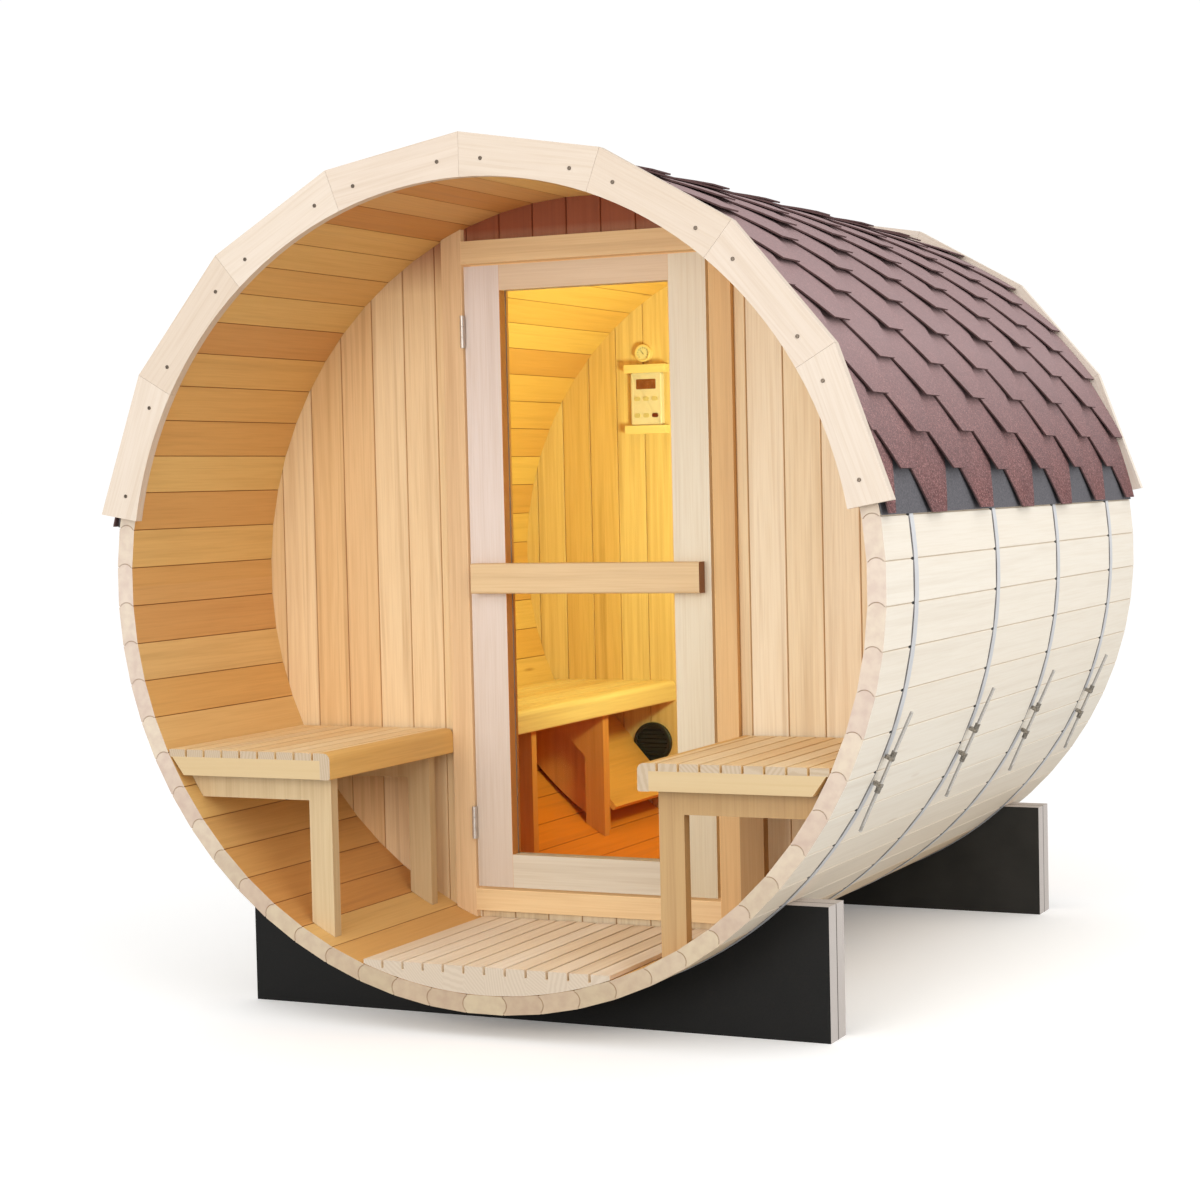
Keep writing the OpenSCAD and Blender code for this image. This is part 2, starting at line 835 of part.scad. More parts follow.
// Wooden ledges that hold the control panel from above and below.
module panel_ledges() {
  half = panel_w / 2 + ledge_over;
  color("NavajoWhite")
    for (z = [panel_h / 2, -panel_h / 2 - ledge_h])
      bar(-panel_x - half, -panel_x + half, rear_wall_y - ledge_t, rear_wall_y,
          panel_z + z, panel_z + z + ledge_h);
}

// Round thermometer over the control panel.
module thermometer() {
  color("Wheat")
    translate([-panel_x - dial_shift, 0, panel_z + panel_h / 2 + ledge_h + dial_lift + dial_d / 2])
      along(rear_wall_y - dial_t, dial_t) circle(d = dial_d);
}

// Round air vent low on the rear wall.
module air_vent() {
  color([0.08, 0.08, 0.08])
    translate([-vent_x, 0, -vent_drop])
      along(rear_wall_y - vent_t, vent_t) circle(d = vent_d);
}

front_cradle();
rear_cradle();
staves_bottom();
staves_right();
staves_top();
staves_left();
steel_bands();
band_tensioners();
front_wall_left();
front_wall_right();
front_wall_over_door();
front_wall_under_door();
rear_wall();
door_post_left();
door_post_right();
door_header();
door_sill();
frame_hinges();
door_left_stile();
door_right_stile();
door_top_rail();
door_bottom_rail();
door_glass();
door_handle();
door_hinges();
porch_floor();
left_bench_seat();
left_bench_frame();
right_bench_seat();
right_bench_frame();
cabin_bench_seat();
cabin_bench_frame();
cabin_bench_panel();
cabin_bench_backboard();
roof_underlay();
shingles_left();
shingles_right();
ridge_cap();
front_fascia();
rear_fascia();
control_panel();
panel_ledges();
thermometer();
air_vent();
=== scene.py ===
# %% [markdown]
# # A barrel sauna, dressed for the camera
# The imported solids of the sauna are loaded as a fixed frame: staves, walls, door, benches and roof are
# already in their places, in metres. This lesson gives every one of them a finish, and models the small
# things that a cooper, a roofer and a joiner would add: wall boards, shingles, screws, threads, fittings.

# %% Load the frame
import math
import random

import bmesh
import bpy
from mathutils import Matrix, Vector


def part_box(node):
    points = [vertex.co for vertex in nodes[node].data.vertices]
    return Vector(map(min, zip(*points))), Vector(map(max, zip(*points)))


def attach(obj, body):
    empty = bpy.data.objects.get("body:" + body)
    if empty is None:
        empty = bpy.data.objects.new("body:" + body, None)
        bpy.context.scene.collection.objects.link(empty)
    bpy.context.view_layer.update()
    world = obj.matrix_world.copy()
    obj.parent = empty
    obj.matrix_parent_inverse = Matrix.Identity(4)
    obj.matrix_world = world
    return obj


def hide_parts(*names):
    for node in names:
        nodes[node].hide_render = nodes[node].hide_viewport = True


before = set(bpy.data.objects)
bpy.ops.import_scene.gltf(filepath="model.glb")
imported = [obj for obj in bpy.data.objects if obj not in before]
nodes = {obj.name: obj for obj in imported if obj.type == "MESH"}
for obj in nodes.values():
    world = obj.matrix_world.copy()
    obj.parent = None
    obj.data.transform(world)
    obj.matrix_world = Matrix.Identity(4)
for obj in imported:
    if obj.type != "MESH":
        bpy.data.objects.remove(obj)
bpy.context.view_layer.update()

# %% [markdown]
# ## Sizes that everything shares
# The barrel lies along Y with its axis 953 mm above the ground. Most pieces are placed by their distance
# and angle from that axis, so these few numbers are kept in one place.

# %% Shared sizes
AXIS = 0.9533          # height of the barrel's axis
FRONT, REAR = -1.025, 1.025
STAVE_TURN = math.radians(360 / 64)
WALL_R = 0.8696        # round edge of the end walls, inside the croze groove
ROOF_R = 0.9035        # outside of the roof underlay
BOARD = 0.0865         # width of a wall board
OUTSIDE = 0.884        # a stave's face that lies further out than this is its outer one
POST_OUT, POST_IN = 0.362, 0.310  # the two sides of a door post, from the middle of the door
LEAK = 0.24            # strength of the cabin light that shows in the gap round the door
BANDS = (0.185, 0.765, 1.275, 1.795)  # middles of the steel bands behind the front rim
chance = random.Random(11)
print("one stave turns", round(math.degrees(STAVE_TURN), 3), "degrees")

# %% [markdown]
# ## Camera
# The camera stands where the photograph was taken from, a little over five and a half metres in front of
# the barrel and to its right. It could be aimed with a Track To constraint, but the photograph is also
# turned a little on its side, so the view is built from three angles: yaw, pitch and roll.

# %% Camera
yaw, pitch, roll = (math.radians(a) for a in (25.2293, 2.6497, -1.3025))
ahead = Vector((-math.sin(yaw) * math.cos(pitch), math.cos(yaw) * math.cos(pitch), -math.sin(pitch)))
level = Vector((math.cos(yaw), math.sin(yaw), 0))
over = level.cross(ahead)
side = math.cos(roll) * level + math.sin(roll) * over
top = -math.sin(roll) * level + math.cos(roll) * over
bpy.ops.object.select_all(action="DESELECT")
bpy.ops.object.camera_add()
camera = bpy.context.object
camera.name = "photo_camera"
turn = Matrix((side, top, -ahead)).transposed().to_4x4()
camera.matrix_world = Matrix.Translation((2.45, -5.6116, 1.1582)) @ turn
camera.data.sensor_width = 36
camera.data.lens = 74.9725
camera.data.clip_end = 200
bpy.context.scene.camera = camera
print("camera looks along", tuple(round(c, 3) for c in ahead))

# %% [markdown]
# ## Helpers for pieces
# An operator works on what is selected. So these helpers select one piece at a time, open it for editing,
# cut it, copy it, and join what belongs together.

# %% Helpers for pieces
def let_go():
    """Leaves edit mode and deselects everything, so that the next operator touches only its own piece."""
    if bpy.context.object and bpy.context.object.mode != "OBJECT":
        bpy.ops.object.mode_set(mode="OBJECT")
    bpy.ops.object.select_all(action="DESELECT")


def choose(piece):
    """Makes one piece the only selected and the active one."""
    let_go()
    piece.select_set(True)
    bpy.context.view_layer.objects.active = piece


def keep_place(piece):
    """Puts the place, turn and size of a piece into its mesh."""
    choose(piece)
    bpy.ops.object.transform_apply(location=True, rotation=True, scale=True)
    return piece


def box_from(name, low, high):
    """Adds a box between two corners and names it."""
    let_go()
    low, high = Vector(low), Vector(high)
    bpy.ops.mesh.primitive_cube_add(size=1, location=(low + high) / 2)
    piece = bpy.context.object
    piece.name = piece.data.name = name
    piece.scale = high - low
    return keep_place(piece)


def edit(piece, mode="EDGE"):
    """Opens a piece in edit mode with nothing selected."""
    choose(piece)
    bpy.ops.object.mode_set(mode="EDIT")
    bpy.ops.mesh.select_mode(type=mode)
    bpy.ops.mesh.select_all(action="DESELECT")


def pick_edges(piece, wanted):
    """Selects the edges whose two ends pass the test."""
    cage = bmesh.from_edit_mesh(piece.data)
    for edge in cage.edges:
        edge.select_set(bool(wanted(edge.verts[0].co, edge.verts[1].co)))
    bmesh.update_edit_mesh(piece.data)


def pick_faces(piece, wanted):
    """Opens a piece in edit mode and selects the faces whose normal passes the test."""
    edit(piece, "FACE")
    cage = bmesh.from_edit_mesh(piece.data)
    for face in cage.faces:
        face.select_set(bool(wanted(face.normal)))
    bmesh.update_edit_mesh(piece.data)


def draw_out(by):
    """Extrudes what is selected, moved by a vector."""
    bpy.ops.mesh.extrude_region_move(TRANSFORM_OT_translate={"value": by})


def saw(place, out, **more):
    """Cuts the whole of the open piece with a plane."""
    bpy.ops.mesh.select_all(action="SELECT")
    bpy.ops.mesh.bisect(plane_co=place, plane_no=out, **more)


def copies(master, places, turned=None):
    """Copies of a piece, each with its own mesh, moved to the given places."""
    made = []
    for place in places:
        one = master.copy()
        one.data = master.data.copy()
        bpy.context.scene.collection.objects.link(one)
        if turned:
            one.data.transform(turned)
        one.data.transform(Matrix.Translation(place))
        made.append(one)
    return made


def give(piece, finish):
    """Sets the only finish of a piece."""
    piece.data.materials.clear()
    piece.data.materials.append(finish)
    return piece


def merge(made):
    """Joins pieces into the first of them."""
    let_go()
    for piece in made:
        piece.select_set(True)
    bpy.context.view_layer.objects.active = made[0]
    if len(made) > 1:
        bpy.ops.object.join()
    return bpy.context.object


def join(name, made, body, finish, replaced=()):
    """Merges pieces into one mesh that rides on a body and takes a finish."""
    whole = merge(made)
    whole.name = whole.data.name = name
    if finish:
        give(whole, finish)
    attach(whole, body)
    if replaced:
        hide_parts(*replaced)
    print(name, "faces:", len(whole.data.polygons))
    return whole


# %% [markdown]
# ## Floor and light
# A photographer would set the sauna on a white floor under big soft lamps. The floor is a plane so wide that
# its edge is lost in the white of the world around it. Large lamps from the front and the right model the
# round staves, and a warm lamp shines up into the cabin.

# %% Floor and lamps
let_go()
bpy.ops.mesh.primitive_plane_add(size=300, location=(0, 0, 0))
floor = bpy.context.object
floor.name = "studio_floor"


def add_lamp(name, place, size, power, tint, aim):
    """A square soft lamp at a place, pointing at another place."""
    let_go()
    bpy.ops.object.light_add(type="AREA", location=place)
    lamp = bpy.context.object
    lamp.name = name
    lamp.data.size = size
    lamp.data.energy = power
    lamp.data.color = tint
    lamp.rotation_euler = (Vector(aim) - Vector(place)).to_track_quat("-Z", "Y").to_euler()
    lamp.visible_camera = lamp.visible_transmission = False


DAYLIGHT = (1.0, 0.98, 0.95)
add_lamp("key_lamp", (5.0, -4.6, 4.6), 4.0, 102, DAYLIGHT, (0, 0, 0.9))
add_lamp("front_lamp", (-0.5, -7.2, 2.0), 3.0, 172, DAYLIGHT, (0, -0.6, 1.1))
add_lamp("side_lamp", (6.2, 0.4, 0.7), 3.0, 104, DAYLIGHT, (0, 0, 0.75))
add_lamp("cabin_lamp", (0.36, 0.10, 1.05), 0.25, 13.3, (0.87, 1.0, 0.40), (-0.4, 0.8, 1.48))
bpy.context.scene.view_settings.view_transform = "Standard"

# %% [markdown]
# ## Helpers for finishes
# A material is a small network of nodes. These helpers add a node, fill its sockets with numbers or with
# other nodes' outputs, and turn the usual 0 to 255 colours into the linear ones that a shader needs.

# %% Node helpers
def colour(red, green, blue):
    """A screen colour as the linear colour of a shader."""
    def linear(c):
        c /= 255
        return c / 12.92 if c <= 0.04045 else ((c + 0.055) / 1.055) ** 2.4
    return (linear(red), linear(green), linear(blue), 1)


def add_node(kind, sockets=None, tree=None, **settings):
    """Adds a shader node. A socket is given a value or another node's output, and that tells the tree."""
    sockets = sockets or {}
    linked = {k: v for k, v in sockets.items() if isinstance(v, bpy.types.NodeSocket)}
    tree = tree or next(iter(linked.values())).id_data
    new = tree.nodes.new("ShaderNode" + kind)
    for key, value in settings.items():
        setattr(new, key, value)
    for key, value in sockets.items():
        if key in linked:
            tree.links.new(value, new.inputs[key])
        else:
            new.inputs[key].default_value = value
    return new


def sums(operation, first, second=0.0, third=0.0):
    """One Math node, as its output."""
    return add_node("Math", {0: first, 1: second, 2: third}, operation=operation).outputs[0]


def split(point):
    """The three coordinates of a point."""
    return add_node("SeparateXYZ", {0: point}).outputs


def dice_of(count):
    """Random numbers that belong to a count."""
    return add_node("TexWhiteNoise", {"W": count}, noise_dimensions="1D").outputs


def stretch(vector, by):
    """A vector scaled differently along its three axes."""
    return add_node("VectorMath", {0: vector, 1: by}, operation="MULTIPLY").outputs[0]


def ramp(factor, stops):
    """A colour ramp with the given stops."""
    new = add_node("ValToRGB", {"Fac": factor})
    band = new.color_ramp
    while len(band.elements) < len(stops):
        band.elements.new(0.5)
    for element, (place, tint) in zip(band.elements, stops):
        element.position = place
        element.color = tint
    return new.outputs["Color"]


def blend(factor, first, second, mode="MIX"):
    """Mixes two colours."""
    sockets = {"Factor": factor, 6: first, 7: second}
    return add_node("Mix", sockets, data_type="RGBA", blend_type=mode).outputs[2]


def stain(factor, wood, tint):
    """Multiplies a colour by a tint, as far as the factor says."""
    return blend(factor, wood, blend(1.0, wood, tint, "MULTIPLY"))


def fade(value, start, end, first=1.0, last=0.0):
    """A number that runs from first to last while a value runs from start to end."""
    sockets = {"Value": value, "From Min": start, "From Max": end, "To Min": first, "To Max": last}
    return add_node("MapRange", sockets).outputs[0]


def near(value, place, half):
    """1 where a value is within half of a place, else 0."""
    return sums("COMPARE", value, place, half)


def faces_along(parts, axis, limit=0.9):
    """1 where the surface looks along an axis, else 0."""
    normal = add_node("TexCoord", tree=parts[0].id_data).outputs["Normal"]
    return sums("GREATER_THAN", sums("ABSOLUTE", split(normal)[axis]), limit)


def noise(vector, scale, detail, **more):
    """A noise texture, as its output."""
    sockets = {"Vector": vector, "Scale": scale, "Detail": detail, **more}
    return add_node("TexNoise", sockets).outputs["Fac"]


def tones_of(*screen):
    """A ramp's stops, spread evenly over the given screen colours."""
    last = max(1, len(screen) - 1)
    return [(i / last, colour(*c)) for i, c in enumerate(screen)]


def new_finish(name):
    """A material with a Principled shader: the two of them, and the Object coordinates."""
    material = bpy.data.materials.new(name)
    material.use_nodes = True
    tree = material.node_tree
    tree.nodes.clear()
    shader = add_node("BsdfPrincipled", tree=tree)
    add_node("OutputMaterial", {"Surface": shader.outputs[0]})
    return material, shader, add_node("TexCoord", tree=tree).outputs["Object"]


def wire(shader, **values):
    """Links outputs to a shader's sockets. The low lines in a name stand for spaces."""
    for name, value in values.items():
        shader.id_data.links.new(value, shader.inputs[name.replace("_", " ")])


def surface(shader, tint, sheen, height, strength, distance):
    """Wires a colour, a roughness and a bump into the shader."""
    bump = add_node("Bump", {"Height": height, "Strength": strength, "Distance": distance}).outputs[0]
    wire(shader, Base_Color=tint, Roughness=sheen, Normal=bump)


def dress(finish, *names):
    """Gives a finish to carried-over solids, through their objects' slots."""
    for name in names:
        for slot in nodes[name].material_slots:
            slot.link = "OBJECT"
            slot.material = finish


# %% [markdown]
# ## Wood
# All the timber is the same softwood, but each board is cut from another place of the tree. So the grain
# is one stretched noise, and every board shifts it by its own random amount and takes its own tone from a
# ramp. A board is found from its coordinates: a stave by its angle round the axis, a wall board or a slat
# by its step across. The ends of a board show rings instead of grain, chosen by the surface's normal.

# %% Wood finish
def wood_finish(name, tones, number, grain, *pieces, ends=None, contrast=0.16, inside=None, seams=None,
                knots=None, glow=None):
    """A planed softwood for some solids. number(x, y, z) counts boards, and grain is their axis."""
    material, shader, point = new_finish(name)
    parts = split(point)
    count = number(*parts)
    dice = dice_of(count)
    moved = stretch(dice["Color"], (9, 9, 9))
    own = add_node("VectorMath", {0: point, 1: moved}, operation="ADD").outputs[0]
    if callable(grain):
        own = grain(own, parts)
        grain = 0
    figure_scale = tuple(0.9 if i == grain else 34.0 for i in range(3))
    fibre_scale = tuple(6.0 if i == grain else 260.0 for i in range(3))
    figure = noise(stretch(own, figure_scale), 1.0, 4.0, Roughness=0.62, Distortion=0.35)
    fibre = noise(stretch(own, fibre_scale), 1.0, 3.0)
    tone = ramp(dice["Value"], tones_of(*tones))
    if inside:
        tone = inside(parts, tone, dice["Value"])
    streak = ramp(figure, [(0.28, (1 - contrast, 1 - contrast * 1.3, 1 - contrast * 1.6, 1)),
                           (0.50, (1, 1, 1, 1)),
                           (0.74, (1 - contrast * 0.6, 1 - contrast * 0.85, 1 - contrast * 1.1, 1))])
    wood = blend(1.0, tone, streak, "MULTIPLY")
    pores = ramp(fibre, [(0.30, (0.90, 0.86, 0.80, 1)), (0.56, (1, 1, 1, 1))])
    wood = blend(0.6, wood, pores, "MULTIPLY")
    if knots:
        wood = knots(own, grain, wood)
    if seams:
        wood = seams(parts, wood)
    if ends:
        wood = ends(point, parts, dice, wood)
    if glow:
        wire(shader, Emission_Color=wood, Emission_Strength=glow(parts))
    relief = sums("ADD", sums("MULTIPLY", figure, 0.4), sums("MULTIPLY", fibre, 0.6))
    surface(shader, wood, fade(figure, 0.0, 1.0, 0.47, 0.67), relief, 0.18, 0.0008)
    dress(material, *pieces)
    return material


# %% Knots, end rings and board counts
def few_knots(own, grain, wood):
    """A few small dark knots, drawn out along the grain."""
    cell_scale = tuple(2.2 if i == grain else 15.0 for i in range(3))
    cells = add_node("TexVoronoi", {"Vector": stretch(own, cell_scale), "Scale": 1.0}).outputs
    chosen = sums("GREATER_THAN", add_node("SeparateColor", {0: cells["Color"]}).outputs[0], 0.72)
    spot = fade(cells["Distance"], 0.02, 0.10, 0.7)
    return stain(sums("MULTIPLY", spot, chosen), wood, (0.52, 0.32, 0.19, 1))


def end_rings(normal_axis, pale, deep):
    """Growth rings on the cut ends that face along one axis."""
    def rings(point, parts, dice, wood):
        away = stretch(dice["Color"], (1.2, 0.0, 1.2))
        centre = add_node("VectorMath", {0: point, 1: away}, operation="SUBTRACT").outputs[0]
        sockets = {"Vector": centre, "Scale": 70.0, "Distortion": 1.4, "Detail": 2.0, "Detail Scale": 1.4}
        wave = add_node("TexWave", sockets, wave_type="RINGS", rings_direction="SPHERICAL")
        cut = ramp(wave.outputs["Fac"], [(0.15, deep), (0.75, pale)])
        return blend(faces_along(parts, normal_axis), wood, cut)
    return rings


def step_across(axis, width, start=0.0, both_sides=False):
    """Counts boards of one width along an axis."""
    def number(*xyz):
        place = sums("ABSOLUTE", xyz[axis]) if both_sides else xyz[axis]
        return sums("FLOOR", sums("DIVIDE", sums("SUBTRACT", place, start), width))
    return number


# %% [markdown]
# ### Staves
# A stave is bleached outside and golden inside. Its end grain is split along the round bead that seats in
# the next stave, and thin shadows mark the joints and the steel bands.

# %% Stave tones
CABIN_MID, CABIN_HALF = 0.26, 0.66    # the cabin's place along Y
BEAD_OUT, BEAD_UP, BEAD_R = 0.87822, 0.05514, 0.0201  # middle and radius of the bead on a stave's end


def angle_round(x, z):
    """Angle of a point round the barrel's axis."""
    return sums("ARCTAN2", sums("SUBTRACT", z, AXIS), x)


def staves_round(x, z):
    """The same angle in staves, with the joints at whole steps."""
    return sums("ADD", sums("DIVIDE", angle_round(x, z), STAVE_TURN), 0.5)


def stave_number(x, y, z):
    """Counts staves by their angle."""
    return sums("FLOOR", staves_round(x, z))


def length_of(first, second):
    """Length of a flat vector."""
    squares = [sums("MULTIPLY", part, part) for part in (first, second)]
    return sums("SQRT", sums("ADD", *squares))


def reach_out(parts):
    """Distance of a point from the barrel's axis."""
    return length_of(sums("SUBTRACT", parts[2], AXIS), parts[0])


def stave_inside(parts, tone, value):
    """Outside the staves are bleached by light, with painted shade that makes them darker and warmer towards
    the ground. Inside they keep the colour of honey, and low in the cabin painted shade turns them a deeper
    orange.
    """
    outside = sums("GREATER_THAN", reach_out(parts), OUTSIDE)
    pale = ramp(value, tones_of((240, 231, 217), (243, 237, 226), (238, 227, 211)))
    # Painted shade: outside, the staves turn darker and warmer towards the ground, most of all under the
    # barrel.
    low_shade = fade(parts[2], AXIS - 0.80, AXIS - 0.42)
    under = sums("LESS_THAN", parts[2], AXIS - 0.7227)
    low_shade = sums("MULTIPLY_ADD", low_shade, 0.6, sums("MULTIPLY", under, 0.4))
    pale = blend(low_shade, pale, colour(216, 170, 96))
    # Painted shade: the low staves in the cabin turn a deeper orange.
    cabin = near(parts[1], CABIN_MID, CABIN_HALF)
    cabin_low_shade = sums("MULTIPLY", fade(parts[2], AXIS - 0.68, AXIS - 0.40), cabin)
    tone = blend(cabin_low_shade, tone, colour(244, 146, 46))
    return blend(outside, tone, pale)


def seam_distance(place, width):
    """Distance to the nearest joint between boards of one width, the joints at whole steps."""
    part = sums("FRACT", sums("DIVIDE", place, width))
    return sums("MULTIPLY", sums("MINIMUM", part, sums("SUBTRACT", 1.0, part)), width)


def stave_seams(parts, wood):
    """Dark joints between staves, the painted shadow along each band, and painted shade in the open notches
    that it bridges.
    """
    around = staves_round(parts[0], parts[2])
    away = sums("MULTIPLY", seam_distance(around, 1.0), STAVE_TURN * 0.88)
    outside = sums("GREATER_THAN", reach_out(parts), OUTSIDE)
    wood = blend(sums("MULTIPLY", outside, 0.5), wood, colour(240, 231, 216))
    dark = blend(outside, (0.46, 0.30, 0.18, 1), (0.80, 0.73, 0.64, 1))
    wood = stain(fade(away, 0.0003, 0.0018), wood, dark)
    spot = shadow = 0.0
    for y in BANDS:
        spot = sums("ADD", spot, near(parts[1], FRONT + y - 0.0180, 0.0075))
        shadow = sums("ADD", shadow, near(parts[1], FRONT + y - 0.0140, 0.0030))
    wood = blend(sums("MULTIPLY", shadow, outside), wood, colour(122, 116, 116))
    # Painted shade: a dark spot in each joint's notch at the front edge of a band.
    spot = sums("MULTIPLY", sums("MULTIPLY", spot, outside), near(away, 0.0, 0.0030))
    return blend(spot, wood, colour(46, 43, 42))


def stave_ends(point, parts, dice, wood):
    """Weathered end grain, with the bead of each stave outlined where it seats in the next one, and painted
    shade that darkens it towards the ground.
    """
    reach = reach_out(parts)
    around = staves_round(sums("ABSOLUTE", parts[0]), parts[2])
    local = sums("MULTIPLY", sums("SUBTRACT", sums("FRACT", around), 0.5), STAVE_TURN)
    over = sums("MULTIPLY_ADD", reach, sums("COSINE", local), -BEAD_OUT)
    up = sums("MULTIPLY_ADD", reach, sums("SINE", local), BEAD_UP)
    bead = length_of(over, up)
    below = sums("LESS_THAN", bead, BEAD_R)
    count = sums("SUBTRACT", sums("FLOOR", around), below)
    tones = tones_of((211, 192, 178), (223, 209, 190), (215, 196, 183), (226, 214, 196), (207, 190, 172))
    tone = ramp(dice_of(count)["Value"], tones)
    blotch = [(0.34, (0.90, 0.86, 0.86, 1)), (0.62, (1.0, 1.0, 0.98, 1))]
    tone = blend(1.0, tone, ramp(noise(point, 46.0, 3.0), blotch), "MULTIPLY")
    rim = sums("ABSOLUTE", sums("SUBTRACT", bead, BEAD_R + 0.0001))
    tone = blend(fade(rim, 0.0006, 0.0016, 0.75), tone, colour(150, 122, 100))
    # Painted shade: the end grain darkens towards the ground.
    tone = stain(fade(parts[2], 0.10, 0.70), tone, (0.76, 0.70, 0.58, 1))
    return blend(faces_along(parts, 1), wood, tone)


# %% [markdown]
# ### Walls, benches and door
# Small touches depend on the place: vees between wall boards, painted shade under the porch's ceiling, at the
# foot of each stile and on the seats' nose boards, a warm strip of painted light beside the pane, and the
# cabin's light that leaks through the gap round the door.

# %% Wall, bench and door tones
SLAT_UNDER, RAIL_END, NOSE_BACK = AXIS - 0.3762, 0.3875, 0.389
PANE_EDGE = 0.2126     # just past the stile's edge along the pane
DOOR_MID, DOOR_HALF = 0.946, 0.7297   # height of the opening's middle, and half its height


def wall_seams(parts, wood):
    """Dark vees between the wall boards, and painted shade under the porch's ceiling."""
    away = seam_distance(sums("ADD", parts[0], BOARD / 2), BOARD)
    wood = stain(fade(away, 0.0004, 0.0024), wood, (0.66, 0.50, 0.36, 1))
    # Painted shade: the front wall darkens towards the porch's ceiling.
    ceiling_shade = fade(parts[2], AXIS + 0.66, AXIS + 0.80, 0.0, 1.0)
    ceiling_shade = sums("MULTIPLY", ceiling_shade, sums("LESS_THAN", parts[1], 0.0))
    return stain(ceiling_shade, wood, (0.36, 0.105, 0.045, 1))


def seat_ends(point, parts, dice, wood):
    """Slat ends show rings, and below them the front of the cross rail has its own grain along X."""
    rail = sums("MULTIPLY", sums("LESS_THAN", parts[2], SLAT_UNDER),
                sums("GREATER_THAN", sums("ABSOLUTE", parts[0]), RAIL_END))
    figure = noise(stretch(point, (1.2, 40.0, 60.0)), 1.0, 5.0, Distortion=0.4)
    plank = ramp(figure, tones_of((196, 166, 118), (208, 182, 138), (202, 172, 126)))
    cut = end_rings(1, colour(196, 176, 150), colour(186, 164, 136))(point, parts, dice, wood)
    return blend(sums("MULTIPLY", faces_along(parts, 1), rail), cut, plank)


def stile_shade(parts, wood):
    """The foot of a stile is painted darker as shade, and its edge along the pane is a warmer strip of
    painted light from the cabin.
    """
    edge = sums("LESS_THAN", sums("ABSOLUTE", parts[0]), PANE_EDGE)
    # Painted light: the cabin's warm light on the stile's edge beside the pane.
    wood = blend(edge, wood, colour(222, 160, 96))
    # Painted shade: the stile darkens towards its foot.
    return stain(fade(parts[2], 0.20, 1.10), wood, (0.84, 0.80, 0.70, 1))


def post_leak(parts):
    """Light from the cabin that leaks past the door onto the faces in the gap beside it."""
    gap = sums("LESS_THAN", sums("ABSOLUTE", parts[0]), POST_IN + 0.0006)
    return sums("MULTIPLY", gap, LEAK)


def header_leak(parts):
    """The same leak over and under the door."""
    return sums("MULTIPLY", near(parts[2], DOOR_MID, DOOR_HALF), LEAK)


def nose_shade(parts, tone, value):
    """The rounded nose board of a seat is painted darker and more orange, as shade."""
    nose = sums("LESS_THAN", sums("ABSOLUTE", parts[0]), NOSE_BACK)
    # Painted shade on the nose board.
    return blend(nose, tone, colour(232, 188, 112))


# %% [markdown]
# ### Every board its wood
# A finish has a few tones, a way to count boards and an axis for the grain. Where the step is wider than
# the piece, the whole piece is one board.

# %% Wood tones and the pieces that have them
HONEY = ((210, 148, 80), (230, 184, 112), (235, 198, 126), (214, 154, 88), (240, 208, 142))
WALL = ((237, 212, 170), (243, 227, 195), (246, 231, 203), (235, 208, 164), (243, 225, 191))
DEEP_WALL = ((226, 186, 130), (236, 206, 158), (240, 214, 172), (224, 180, 122), (234, 202, 152))
REAR_WALL = ((228, 190, 132), (236, 206, 156), (240, 212, 166), (226, 184, 122), (234, 200, 148))
SLAT = ((244, 215, 165), (249, 229, 187), (245, 218, 168), (251, 234, 196))
FLOOR = ((245, 229, 205), (250, 238, 219), (243, 225, 198), (251, 241, 224))
LEFT_LEG = ((200, 174, 132), (208, 184, 144), (203, 178, 136))
# RIGHT_LEG is darker than LEFT_LEG: painted shade on the right bench's frame.
RIGHT_LEG = ((182, 144, 94), (190, 155, 106), (185, 148, 98))
# CABIN_LEG is a deeper orange: painted warm shade on the cabin's frame and panel.
CABIN_LEG = ((222, 150, 84), (230, 164, 98), (226, 156, 90))
HANDLE = ((224, 194, 148), (230, 202, 160), (220, 188, 140))
SLAT_STEP = 0.0465     # width of a bench slat and its gap
FLOOR_STEP = 0.049     # the same on the porch floor
pale_end, deep_end = colour(206, 190, 170), colour(199, 182, 161)
WALL_STEP = step_across(0, BOARD, -BOARD / 2)
LEFT_RIGHT = ("left", "right")
wood_finish("stave_wood", HONEY, stave_number, 1, "staves_bottom", "staves_right", "staves_top",
            "staves_left", ends=stave_ends, contrast=0.13, inside=stave_inside, seams=stave_seams,
            knots=few_knots)
wall_wood, deep_wall_wood, rear_wall_wood = (
    wood_finish(name, tones, WALL_STEP, 2, *walls, contrast=0.25, seams=wall_seams)
    for name, tones, walls in (
        ("wall_wood", WALL, ("front_wall_right", "front_wall_over_door", "front_wall_under_door")),
        ("deep_wall_wood", DEEP_WALL, ("front_wall_left",)),
        ("rear_wall_wood", REAR_WALL, ("rear_wall",))))
for hand, tones in zip(LEFT_RIGHT, (((230, 196, 152), (226, 190, 144)), ((230, 192, 136), (226, 184, 126)))):
    wood_finish(hand + "_post_wood", tones, step_across(0, 0.5), 2, "door_post_" + hand,
                ends=end_rings(2, pale_end, deep_end), glow=post_leak)
wood_finish("header_wood", ((236, 203, 152), (240, 209, 161)), step_across(2, 0.5), 0, "door_header",
            "door_sill", glow=header_leak)
for hand, tones in zip(LEFT_RIGHT, (((230, 217, 210), (226, 212, 203)), ((237, 228, 207), (234, 224, 202)))):
    wood_finish(hand + "_stile_wood", tones, step_across(0, 0.4), 2, "door_" + hand + "_stile",
                contrast=0.09, seams=stile_shade)
for end, tones in (("top", ((234, 212, 184), (230, 206, 176))),
                   ("bottom", ((220, 211, 192), (216, 204, 184)))):
    wood_finish(end + "_rail_wood", tones, step_across(2, 0.6), 0, "door_" + end + "_rail", contrast=0.12)
